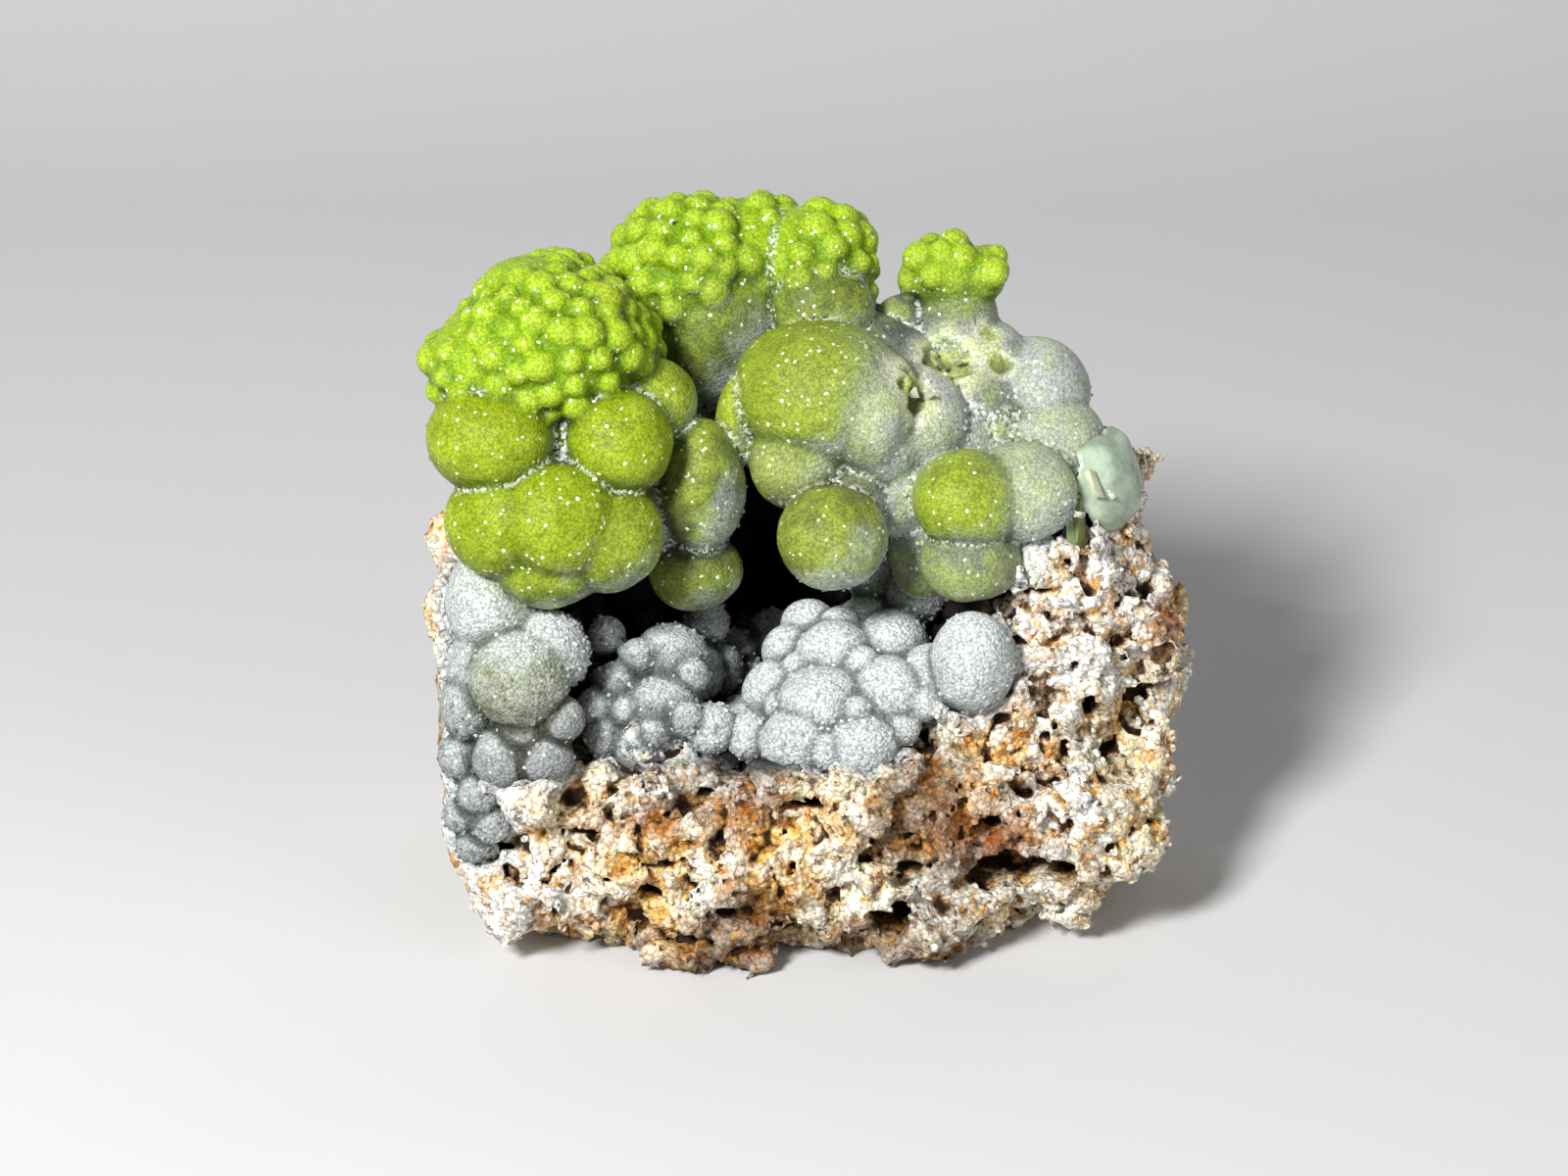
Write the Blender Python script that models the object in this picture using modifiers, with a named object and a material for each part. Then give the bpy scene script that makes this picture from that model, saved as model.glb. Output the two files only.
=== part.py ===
"""A hand specimen of botryoidal pyromorphite on its rock, 60 mm wide.

Blender 4.5 script, in metres, +Z up, standing on z = 0 with the camera side at -Y. Three solids:
matrix        the rusty, vuggy quartz and limonite rock that everything grows on
pyromorphite  the green and frosted grape-like masses over the top and left of the rock, one fused growth
vug_crust     the small frosted balls that line the floor of the open hollow in the middle
"""

import math

import bmesh
import bpy
import numpy as np
from mathutils import Matrix, Vector, noise

MM = 0.001
GAP = 0.6 * MM  # space left between two growths where one is cut by the other, before facets eat into it

# How finely the shapes are fused, and the faces that each solid keeps.
FUSE_STEP = 0.45 * MM
PYROMORPHITE_FACES = 4500
CRUST_FACES = 1100
MATRIX_FACES = 4200

# Faces in the shapes that are only worked with: enough to keep their form, few enough to cut fast.
ROUGH_ROCK_FACES = 9000
GROWTH_ROOM_FACES = 5000
CRUST_ROOM_FACES = 1800
HOLLOW_FACES = 700
PIT_FACES = 2400

# Grape lobes: (x, y, z, radius across, radius deep, radius high), in mm.
LEFT_CROWN = [
    (-19.3, -4.0, 45.3, 7.2, 7.2, 6.2),
    (-23.4, -5.5, 44.4, 5.0, 5.0, 4.8),
    (-20.8, -3.0, 48.2, 4.4, 4.4, 3.9),
    (-16.0, -2.0, 44.8, 4.6, 5.0, 4.4),
    (-19.0, 2.5, 44.0, 6.5, 5.5, 5.8),
]
LEFT_LOBES = [
    (-23.4, -9.5, 40.3, 4.8, 4.6, 4.1),
    (-14.0, -9.0, 39.8, 4.1, 4.1, 4.0),
    (-11.6, -4.0, 41.0, 3.3, 3.6, 3.4),
    (-22.0, -11.0, 34.3, 5.0, 4.6, 4.5),
    (-18.6, -12.0, 34.6, 5.2, 4.6, 4.8),
    (-15.2, -11.0, 33.2, 4.6, 4.4, 4.5),
    (-19.2, -11.2, 31.6, 4.8, 4.2, 4.0),
    (-8.1, -5.0, 34.7, 3.4, 3.9, 5.3),
    (-8.6, -5.0, 27.8, 3.6, 3.4, 3.2),
    (-18.5, -2.5, 37.5, 7.8, 8.0, 8.0),
    (-12.5, -1.5, 33.0, 5.0, 6.0, 5.5),
    (-12.4, 5.0, 36.6, 4.6, 4.8, 4.6),
]
BACK_CROWN = [
    (-9.1, 8.0, 46.3, 6.4, 6.2, 6.3),
    (-4.6, 9.5, 47.2, 5.2, 5.4, 5.3),
    (0.2, 8.5, 47.0, 5.0, 5.2, 5.1),
]
BACK_LOBES = [
    (1.0, 5.0, 45.2, 4.0, 3.8, 4.0),
    (-7.4, 6.0, 43.2, 5.6, 5.0, 6.2),
    (-3.0, 10.0, 41.0, 9.0, 7.0, 7.5),
]
MIDDLE_LOBES = [
    (0.9, -2.0, 40.9, 6.7, 6.2, 5.5),
    (-0.7, -4.4, 36.8, 3.8, 3.6, 4.2),
    (-5.3, -3.0, 39.0, 1.7, 2.2, 3.6),
    (4.4, -2.2, 37.6, 5.0, 4.4, 4.4),
    (7.4, -0.4, 37.8, 5.0, 4.8, 4.5),
    (10.8, 1.2, 35.8, 4.2, 4.2, 4.0),
    (1.8, -9.0, 32.1, 4.2, 4.2, 3.9),
    (2.6, -4.6, 33.4, 3.4, 4.0, 3.4),
    (7.0, -3.0, 33.4, 3.0, 3.2, 3.4),
    (8.6, -2.4, 28.6, 2.5, 3.0, 4.8),
    (4.0, 5.0, 38.5, 7.0, 6.5, 6.0),
]
RIGHT_LOBES = [
    (11.9, -6.0, 34.0, 4.3, 4.2, 3.6),
    (16.0, -4.2, 33.8, 4.4, 4.4, 3.7),
    (12.1, -7.0, 29.3, 3.9, 3.8, 2.9),
    (14.2, 1.0, 36.9, 2.1, 2.2, 2.0),
    (12.6, 3.5, 37.4, 4.4, 4.4, 4.2),
    (17.4, 5.2, 38.1, 4.4, 5.0, 4.3),
    (13.3, 6.4, 39.6, 4.2, 4.4, 4.0),
    (18.6, 1.6, 35.0, 4.4, 4.6, 4.2),
]
FINGER_LOBES = [
    (11.4, 8.0, 42.6, 3.4, 3.4, 4.8),
    (10.6, 8.0, 46.8, 2.9, 2.9, 2.8),
    (13.2, 8.0, 46.8, 2.2, 2.4, 2.3),
    (7.2, 7.6, 43.0, 2.0, 2.2, 2.2),
]
FROSTED_LEFT_LOBES = [
    (-21.5, -14.0, 22.8, 3.7, 3.7, 3.7),
    (-19.4, -12.0, 24.2, 3.1, 3.2, 3.1),
    (-23.6, -9.5, 27.2, 3.6, 4.2, 4.6),
    (-24.0, -11.0, 22.0, 3.2, 3.4, 4.4),
    (-18.4, -14.6, 19.8, 1.9, 2.1, 1.8),
    (-21.2, -14.4, 19.0, 2.3, 2.4, 2.1),
    (-22.8, -15.2, 16.9, 2.4, 2.4, 2.1),
    (-19.7, -15.4, 17.1, 2.3, 2.3, 2.0),
    (-25.6, -12.6, 19.8, 2.0, 2.4, 2.6),
    (-26.0, -13.2, 16.0, 1.8, 2.2, 2.0),
    (-24.7, -15.0, 13.8, 1.8, 1.9, 1.7),
    (-26.0, -14.6, 12.0, 1.5, 1.8, 1.5),
    (-23.8, -15.8, 11.6, 1.5, 1.6, 1.5),
    (-25.2, -15.2, 9.8, 1.4, 1.6, 1.4),
    (-22.0, -10.5, 18.0, 4.0, 4.0, 5.5),
]
VUG_LOBES = [
    (-15.3, -6.0, 22.7, 1.5, 1.6, 1.5),
    (-10.4, -7.0, 21.1, 2.9, 2.9, 2.8),
    (-7.8, -1.0, 21.4, 1.8, 1.9, 1.9),
    (-14.4, -9.0, 20.0, 1.8, 1.9, 1.8),
    (-16.0, -10.2, 18.6, 1.6, 1.8, 1.6),
    (-15.4, -11.4, 16.9, 1.6, 1.7, 1.6),
    (-12.8, -12.2, 16.4, 1.9, 2.0, 1.8),
    (-11.0, -10.0, 18.3, 3.1, 3.0, 2.8),
    (-7.4, -11.0, 17.3, 2.2, 2.3, 2.0),
    (-8.8, -3.6, 18.6, 2.4, 2.6, 2.4),
    (-6.6, -1.6, 17.8, 1.8, 2.2, 2.0),
    (-5.4, 3.0, 17.3, 2.0, 2.2, 1.8),
    (-2.6, 4.0, 18.4, 2.2, 2.2, 1.9),
    (-4.4, -0.5, 15.6, 2.6, 3.0, 2.0),
    (-4.6, -6.0, 15.2, 2.4, 3.4, 2.0),
]
MOUND_LOBES = [
    (0.2, -3.0, 22.1, 2.3, 2.2, 2.2),
    (4.4, -3.0, 22.1, 2.4, 2.3, 2.3),
    (-1.4, -5.0, 20.9, 2.1, 2.1, 2.1),
    (2.0, -7.0, 21.3, 3.1, 3.0, 2.9),
    (6.4, -5.4, 21.5, 3.0, 2.9, 2.8),
    (-2.6, -8.0, 19.0, 2.4, 2.5, 2.3),
    (1.0, -11.0, 19.1, 3.5, 3.3, 3.1),
    (6.1, -10.0, 19.5, 3.3, 3.2, 3.1),
    (-4.4, -11.0, 16.6, 2.1, 2.2, 1.9),
    (-0.8, -13.2, 17.2, 2.9, 2.7, 2.6),
    (4.0, -14.0, 17.2, 2.9, 2.7, 2.5),
    (9.4, -9.0, 20.2, 2.8, 3.0, 3.0),
    (12.4, -10.4, 22.5, 3.2, 3.2, 4.0),
    (1.5, 0.5, 19.0, 3.6, 3.4, 2.6),
]

# Main masses of the rock, each the hull of its corners (x, y, z), in mm.
FOOT_AND_LIP = [
    (-19.0, -13.0, -1.0), (-7.0, -16.5, -1.0), (8.0, -14.5, -1.0), (17.0, -10.5, -1.0), (20.5, -4.0, -1.0),
    (20.5, 8.0, -1.0), (13.0, 15.0, -1.0), (-12.0, 15.5, -1.0), (-20.0, 9.0, -1.0), (-21.0, -5.0, -1.0),
    (-26.5, -13.5, 7.0), (-19.0, -17.0, 7.0), (-5.0, -18.5, 7.0), (10.0, -17.0, 7.0), (19.5, -13.5, 7.0),
    (25.5, -6.0, 6.0), (26.5, 5.0, 7.0), (19.0, 15.0, 7.0), (-10.0, 18.0, 7.0), (-23.0, 14.0, 7.0),
    (-27.5, -15.0, 15.0), (-20.0, -17.5, 15.5), (-4.0, -18.0, 16.0), (10.0, -17.0, 16.0),
    (19.0, -13.0, 15.0), (27.5, -5.0, 15.0), (28.5, 5.0, 15.0), (20.0, 16.0, 15.0),
    (-10.0, 18.5, 15.0), (-25.0, 14.0, 15.0),
]
LEFT_WALL = [
    (-27.6, -14.0, 8.0), (-27.6, 12.0, 8.0), (-20.0, -12.0, 8.0), (-20.0, 12.0, 8.0),
    (-27.8, -12.0, 22.0), (-27.6, -9.0, 31.0), (-26.5, 9.0, 32.0), (-22.0, -6.0, 34.0), (-20.0, 9.0, 35.0),
]
BACK_LEFT_MASS = [
    (-25.0, -2.0, 12.0), (-9.0, 0.0, 12.0), (-25.0, 14.0, 12.0), (-9.0, 18.0, 12.0),
    (-23.0, -1.0, 34.0), (-12.0, 0.0, 34.0), (-22.0, 12.0, 36.0), (-12.0, 16.0, 38.0), (-17.0, 16.5, 30.0),
]
BACK_WALL = [
    (-20.0, 10.5, 4.0), (20.0, 10.5, 4.0), (-18.0, 18.0, 6.0), (16.0, 17.5, 6.0), (21.0, 10.0, 26.0),
    (-18.0, 11.0, 36.0), (-14.0, 17.0, 37.0), (-18.0, 18.5, 24.0), (2.0, 18.8, 20.0), (2.0, 17.5, 38.0),
    (9.0, 11.0, 38.0), (14.0, 11.0, 35.0), (13.0, 16.5, 33.0), (18.0, 15.5, 26.0),
]
RIGHT_MASS = [
    (9.0, -15.5, 13.0), (19.0, -12.5, 13.0), (28.0, -5.0, 13.0), (28.6, 5.0, 13.0), (20.0, 15.0, 13.0),
    (8.0, 12.0, 13.0), (15.0, -11.5, 20.5), (19.5, -11.0, 20.5), (29.2, -2.0, 20.0), (29.4, 4.0, 20.0),
    (15.5, -7.5, 28.0), (21.0, -7.0, 28.0), (25.8, -1.0, 28.5), (26.2, 6.0, 27.0), (16.0, -2.5, 33.0),
    (22.6, -2.0, 33.0), (20.4, 2.0, 37.0), (15.0, 5.0, 36.5), (18.0, 12.0, 31.0), (10.0, 12.0, 33.0),
]
# Rounded lumps on the masses: (x, y, z, radius across, radius deep, radius high), in mm.
ROCK_LUMPS = [
    (-7.0, -15.0, 4.0, 7.5, 4.4, 5.4),
    (8.0, -14.6, 6.0, 8.0, 4.2, 5.0),
    (19.0, -11.0, 9.0, 7.0, 6.0, 6.0),
    (26.4, -1.0, 19.6, 3.4, 5.0, 3.6),
    (24.8, -3.0, 11.0, 3.4, 5.5, 4.6),
    (-21.0, -13.4, 6.0, 5.5, 4.5, 4.5),
    (21.0, 2.0, 31.5, 4.4, 6.0, 4.2),
    (-27.4, -7.0, 24.8, 1.6, 2.2, 3.0),
    (-26.8, -5.0, 30.6, 1.8, 2.6, 2.6),
    (3.0, -6.0, 15.5, 7.0, 7.5, 4.4),
    (-12.0, -8.0, 14.5, 5.0, 5.5, 4.0),
    (-6.0, 16.4, 12.0, 9.0, 4.0, 8.0),
    (11.0, 14.0, 20.0, 8.0, 5.0, 9.0),
    (-15.0, 14.5, 28.0, 6.0, 5.0, 8.0),
]

# Hollows taken out of the rock: the vug itself, then the pits of its broken faces.
VUG_HOLLOWS = [
    (-4.0, 0.0, 26.5, 9.5, 9.0, 9.5),
    (-3.6, -8.0, 25.0, 3.4, 12.0, 7.5),
    (-10.0, -9.0, 26.0, 5.5, 9.0, 5.0),
    (3.0, -8.0, 27.6, 6.0, 9.0, 4.2),
    (-4.2, -4.0, 18.6, 2.2, 8.0, 4.0),
]
ROCK_PITS = [
    (-17.6, -17.4, 14.4, 1.9, 2.6, 1.9),
    (11.8, -19.6, 6.4, 4.4, 3.8, 1.9),
    (15.8, -19.2, 9.2, 2.2, 3.0, 1.7),
    (-0.4, -20.4, 14.0, 2.3, 2.6, 1.0),
    (3.6, -19.6, 2.6, 3.0, 3.0, 2.6),
    (-13.6, -20.0, 9.6, 2.2, 2.8, 1.5),
    (-10.0, -20.6, 5.4, 2.6, 2.4, 1.3),
    (17.8, -13.6, 25.4, 2.2, 3.6, 1.2),
    (22.0, -10.4, 24.6, 1.9, 3.0, 1.6),
    (27.4, -8.4, 9.2, 1.8, 2.6, 2.2),
    (-10.0, 20.4, 24.0, 3.0, 3.0, 4.0),
    (7.0, 20.6, 12.0, 4.2, 2.6, 2.8),
    (16.0, 20.6, 27.0, 2.6, 3.0, 2.2),
    (-23.0, 15.0, 16.0, 3.0, 3.4, 2.6),
    (30.0, 8.0, 17.0, 2.4, 3.2, 2.6),
]

# Knobs on the crowns: their size and spacing, and how deep they sit in the lobe, in mm.
KNOB_RADIUS = 1.25
KNOB_SPACING = 2.3
KNOB_SINK = 0.45

# The rock's roughness: how far its faces wander, and over what length, in mm.
ROUGH_DEPTH = 1.0
ROUGH_LENGTH = 5.0

# Angular chunks on the rock's skin and small pits in it: how many, how big and how far apart, in mm.
CHUNKS = 150
CHUNK_RADII = (1.4, 3.0)
CHUNK_SINK = 0.3
CHUNK_SPACING = 3.0
PITS = 40
PIT_SIZES = (0.9, 1.9)
PIT_SPACING = 4.6
FLAT_BREAK_X = -25.0


def plain_material(name, colour, roughness):
    """A Principled material of one colour."""
    material = bpy.data.materials.new(name)
    material.use_nodes = True
    shader = material.node_tree.nodes["Principled BSDF"]
    shader.inputs["Base Color"].default_value = (*colour, 1.0)
    shader.inputs["Roughness"].default_value = roughness
    shader.inputs["Metallic"].default_value = 0.0
    return material


def new_collection(name, shown=True):
    """A collection in the scene; cutters go in one that isn't rendered."""
    collection = bpy.data.collections.new(name)
    collection.hide_render = not shown
    bpy.context.scene.collection.children.link(collection)
    return collection


def add_ball(mesh, lobe, swell=0.0):
    """Adds one egg-shaped lobe to a bmesh, swollen by a margin in mm."""
    x, y, z, across, deep, high = lobe
    fine = 4 if max(across, deep, high) > 2.5 else 3
    size = Matrix.Diagonal(((across + swell) * MM, (deep + swell) * MM, (high + swell) * MM, 1.0))
    place = Matrix.Translation(Vector((x, y, z)) * MM)
    bmesh.ops.create_icosphere(mesh, subdivisions=fine, radius=1.0, matrix=place @ size)


def add_hull(mesh, corners):
    """Adds the hull of some corners to a bmesh."""
    verts = [mesh.verts.new(corner) for corner in corners]
    bmesh.ops.convex_hull(mesh, input=verts)
    inside = [vert for vert in verts if not vert.link_faces]
    bmesh.ops.delete(mesh, geom=inside, context="VERTS")


def knobs_on(lobes, lowest):
    """Small knobs spread evenly over the upper side of some lobes, from a spiral round each one."""
    knobs = []
    golden = math.pi * (3 - math.sqrt(5))
    spread = np.random.default_rng(7)
    for x, y, z, across, deep, high in lobes:
        mean = (across + deep + high) / 3
        count = int(4 * math.pi * mean**2 / KNOB_SPACING**2)
        for i in range(count):
            up = 1 - 2 * (i + 0.5) / count
            if up < lowest:
                continue
            ring = math.sqrt(1 - up * up)
            turn = golden * i + spread.uniform(-0.25, 0.25)
            way = Vector((ring * math.cos(turn), ring * math.sin(turn), up))
            radius = KNOB_RADIUS * spread.uniform(0.8, 1.2)
            knobs.append((
                x + way.x * (across - KNOB_SINK),
                y + way.y * (deep - KNOB_SINK),
                z + way.z * (high - KNOB_SINK),
                radius, radius, radius,
            ))
    return knobs


def fused(name, lobes, masses=(), swell=0.0):
    """One closed solid from overlapping lobes and masses, joined by a voxel remesh."""
    mesh = bmesh.new()
    for lobe in lobes:
        add_ball(mesh, lobe, swell)
    for corners in masses:
        add_hull(mesh, [Vector(corner) * MM for corner in corners])
    data = bpy.data.meshes.new(name)
    mesh.to_mesh(data)
    mesh.free()
    solid = bpy.data.objects.new(name, data)
    bpy.context.scene.collection.objects.link(solid)
    return remeshed(solid)


def places_on(solid, count, spacing, seed):
    """Skin places and outward ways, picked by a fixed seed, spaced apart and off the flat left break."""
    skin = [(vert.co.copy(), vert.normal.copy()) for vert in solid.data.vertices]
    picked = []
    for i in np.random.default_rng(seed).permutation(len(skin)):
        place, way = skin[i]
        if place.z < 1.5 * MM or place.x < FLAT_BREAK_X * MM:
            continue
        if all((place - other).length > spacing * MM for other, _ in picked):
            picked.append((place, way))
        if len(picked) == count:
            break
    return picked


def add_chunks(solid):
    """Sets irregular chunks into the rock's skin, as broken rock stands out in ledges and corners."""
    spread = np.random.default_rng(11)
    mesh = bmesh.new()
    mesh.from_mesh(solid.data)
    for place, way in places_on(solid, CHUNKS, CHUNK_SPACING, 12):
        radius = spread.uniform(*CHUNK_RADII) * MM
        middle = place - way * radius * CHUNK_SINK
        ways = [Vector(spread.normal(size=3)).normalized() for _ in range(9)]
        add_hull(mesh, [middle + side * radius for side in ways])
    mesh.to_mesh(solid.data)
    mesh.free()
    return remeshed(solid)


def skin_pits(solid):
    """Small balls set in the rock's skin, to be cut out of it as pits."""
    spread = np.random.default_rng(21)
    pits = []
    for place, _ in places_on(solid, PITS, PIT_SPACING, 22):
        sizes = spread.uniform(*PIT_SIZES, 3)
        pits.append((*(place / MM), *sizes))
    return pits


def remeshed(solid):
    """Makes one closed skin round everything in the mesh."""
    remesh = solid.modifiers.new("fuse", "REMESH")
    remesh.mode = "VOXEL"
    remesh.voxel_size = FUSE_STEP
    return settled(solid)


def settled(solid):
    """Applies a solid's modifiers, so that the next step works on the mesh they make."""
    graph = bpy.context.evaluated_depsgraph_get()
    made = bpy.data.meshes.new_from_object(solid.evaluated_get(graph))
    old = solid.data
    solid.modifiers.clear()
    solid.data = made
    made.name = solid.name
    bpy.data.meshes.remove(old)
    return solid


def cut(solid, cutter):
    """Takes the cutter's shape out of the solid."""
    boolean = solid.modifiers.new("cut", "BOOLEAN")
    boolean.operation = "DIFFERENCE"
    boolean.solver = "EXACT"
    boolean.object = cutter
    return settled(solid)


def slimmed(solid, faces):
    """Keeps about this many triangles, most of them where the surface bends."""
    triangles = sum(len(face.vertices) - 2 for face in solid.data.polygons)
    decimate = solid.modifiers.new("slim", "DECIMATE")
    decimate.ratio = min(1.0, faces / triangles)
    decimate.use_collapse_triangulate = True
    return settled(solid)


def largest_body(solid):
    """Drops loose crumbs that a cut or a pit left, and keeps the main body."""
    mesh = bmesh.new()
    mesh.from_mesh(solid.data)
    mesh.verts.ensure_lookup_table()
    seen = set()
    bodies = []
    for start in mesh.verts:
        if start.index in seen:
            continue
        seen.add(start.index)
        body = [start]
        for vert in body:
            for edge in vert.link_edges:
                other = edge.other_vert(vert)
                if other.index not in seen:
                    seen.add(other.index)
                    body.append(other)
        bodies.append(body)
    bodies.sort(key=len, reverse=True)
    crumbs = [vert for body in bodies[1:] for vert in body]
    bmesh.ops.delete(mesh, geom=crumbs, context="VERTS")
    mesh.to_mesh(solid.data)
    mesh.free()
    return solid


def roughen(solid):
    """Moves the rock's faces in and out with smooth noise, as a broken face wanders."""
    count = len(solid.data.vertices)
    places = np.empty(count * 3, np.float32)
    normals = np.empty(count * 3, np.float32)
    solid.data.vertices.foreach_get("co", places)
    solid.data.vertex_normals.foreach_get("vector", normals)
    places = places.reshape(-1, 3)
    wander = np.empty((count, 1), np.float32)
    for i, place in enumerate(places / (ROUGH_LENGTH * MM)):
        at = Vector(place)
        ridge = abs(noise.noise(at * 1.3 + Vector((9, 4, 2))))
        wander[i] = noise.noise(at) + 0.5 * noise.noise(at * 2.1) - 0.7 * ridge
    places += normals.reshape(-1, 3) * wander * ROUGH_DEPTH * MM
    solid.data.vertices.foreach_set("co", places.ravel())
    return remeshed(solid)


def flat_foot(solid, cutters):
    """Cuts the solid off flat at z = 0, where it rests."""
    mesh = bmesh.new()
    place = Matrix.Translation((0, 0, -0.02)) @ Matrix.Diagonal((0.12, 0.12, 0.04, 1))
    bmesh.ops.create_cube(mesh, size=1.0, matrix=place)
    data = bpy.data.meshes.new("ground_cutter")
    mesh.to_mesh(data)
    mesh.free()
    cutter = bpy.data.objects.new("ground_cutter", data)
    put_away(cutter, cutters)
    return cut(solid, cutter)


def put_away(cutter, cutters):
    """Moves a cutter to the collection that isn't rendered."""
    for collection in cutter.users_collection:
        collection.objects.unlink(cutter)
    cutters.objects.link(cutter)
    cutter.hide_render = True
    cutter.display_type = "WIRE"


def show(solid, parts, material):
    """Puts a finished solid in the specimen's collection, with its material."""
    for collection in solid.users_collection:
        collection.objects.unlink(solid)
    parts.objects.link(solid)
    solid.data.materials.clear()
    solid.data.materials.append(material)
    solid.data.shade_smooth()
    solid.data.set_sharp_from_angle(angle=math.radians(40))


def pyromorphite_lobes():
    """Every lobe of the fused growth, with the knobs on its crowns."""
    knobs = knobs_on(LEFT_CROWN, -0.25) + knobs_on(BACK_CROWN, -0.05) + knobs_on(FINGER_LOBES[1:3], -0.2)
    lobes = (
        LEFT_CROWN + LEFT_LOBES + BACK_CROWN + BACK_LOBES + MIDDLE_LOBES
        + RIGHT_LOBES + FINGER_LOBES + FROSTED_LEFT_LOBES
    )
    return lobes, knobs


def main():
    for leftover in list(bpy.data.objects):
        bpy.data.objects.remove(leftover)
    parts = new_collection("pyromorphite_specimen")
    cutters = new_collection("cutters", shown=False)

    lobes, knobs = pyromorphite_lobes()
    crust_lobes = VUG_LOBES + MOUND_LOBES
    growth_room = slimmed(fused("growth_room", lobes, swell=GAP / MM), GROWTH_ROOM_FACES)
    crust_room = slimmed(fused("crust_room", crust_lobes, swell=GAP / MM), CRUST_ROOM_FACES)
    hollows = slimmed(fused("hollows", VUG_HOLLOWS), HOLLOW_FACES)

    pyromorphite = slimmed(fused("pyromorphite", lobes + knobs), PYROMORPHITE_FACES)

    vug_crust = slimmed(fused("vug_crust", crust_lobes), CRUST_FACES)
    vug_crust = largest_body(cut(vug_crust, growth_room))

    masses = [FOOT_AND_LIP, LEFT_WALL, BACK_LEFT_MASS, BACK_WALL, RIGHT_MASS]
    matrix = fused("matrix", ROCK_LUMPS, masses)
    matrix = add_chunks(roughen(matrix))
    pits = slimmed(fused("pits", ROCK_PITS + skin_pits(matrix)), PIT_FACES)
    matrix = slimmed(matrix, ROUGH_ROCK_FACES)
    for cutter in (hollows, pits, growth_room, crust_room):
        matrix = cut(matrix, cutter)
    matrix = slimmed(largest_body(matrix), MATRIX_FACES)
    matrix = largest_body(flat_foot(matrix, cutters))

    for cutter in (hollows, pits, growth_room, crust_room):
        put_away(cutter, cutters)
    show(matrix, parts, plain_material("rock", (0.55, 0.40, 0.24), 0.9))
    show(pyromorphite, parts, plain_material("green_growth", (0.36, 0.42, 0.10), 0.5))
    show(vug_crust, parts, plain_material("frosted_crust", (0.62, 0.63, 0.60), 0.75))


main()
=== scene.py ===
"""The looks of a botryoidal pyromorphite specimen: knobbly green and frosted growths on rusty, vuggy rock.

Every list gives millimetres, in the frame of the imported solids: +Z up, the open hollow facing -Y.
Every mesh is in metres.
"""

import itertools
import math

import bmesh
import bpy
import numpy as np
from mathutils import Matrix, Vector, noise


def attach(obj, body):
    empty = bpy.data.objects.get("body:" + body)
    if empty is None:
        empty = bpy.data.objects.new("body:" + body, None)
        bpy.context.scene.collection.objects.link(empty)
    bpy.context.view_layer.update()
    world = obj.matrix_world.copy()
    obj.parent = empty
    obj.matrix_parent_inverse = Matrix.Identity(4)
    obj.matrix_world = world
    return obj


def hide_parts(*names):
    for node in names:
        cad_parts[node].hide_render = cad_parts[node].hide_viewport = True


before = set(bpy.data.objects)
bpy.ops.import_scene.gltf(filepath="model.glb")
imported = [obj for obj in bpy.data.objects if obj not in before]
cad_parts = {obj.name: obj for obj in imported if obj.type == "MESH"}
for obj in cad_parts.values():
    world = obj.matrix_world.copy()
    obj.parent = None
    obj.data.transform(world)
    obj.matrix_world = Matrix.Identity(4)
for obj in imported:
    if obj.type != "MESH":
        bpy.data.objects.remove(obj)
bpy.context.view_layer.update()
MM = 0.001

# The grape growths.
# Real pieces: pyromorphite grown out of the rock in lobes of radiating fibres, skinned with tiny crystals.
# The crowns are bright and knobbly; lower down and to the right the skin turns olive and then frosted grey.
# Each cluster's lobes are listed, knobs are spread over its crown, and all are fused and softened.

# A tint is a linear colour and how readily it takes frost. A lobe is its middle, its three radii, its tint
# and its family; lobes of one family blend without a crease, and a family of 0 is the lobe's own.
# Painted shade in the tints: the darkest olive and the near-black frosted grey darken lobes that sit under
# the crowns, and the slate grey is kept dark partly as painted shade for the balls in the hollow.
TINTS = {
    "lime": (0.30, 0.46, 0.016, 0.0),
    "yellow": (0.235, 0.305, 0.009, 0.12),
    "leaf": (0.23, 0.295, 0.028, 0.40),
    "olive": (0.17, 0.195, 0.040, 0.60),
    "haze": (0.30, 0.34, 0.12, 0.55),
    "moss": (0.120, 0.145, 0.040, 0.60),
    "olive_in_painted_shade": (0.052, 0.062, 0.036, 0.40),
    "slate": (0.120, 0.127, 0.122, 0.50),
    "violet": (0.43, 0.46, 0.37, 0.80),
    "frost": (0.44, 0.46, 0.46, 0.80),
    "snow": (0.50, 0.525, 0.53, 0.30),
    "ash": (0.16, 0.17, 0.145, 0.40),
    "frost_in_painted_shadow": (0.070, 0.072, 0.064, 0.20),
    "cream": (0.20, 0.215, 0.10, 0.40),
}
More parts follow.
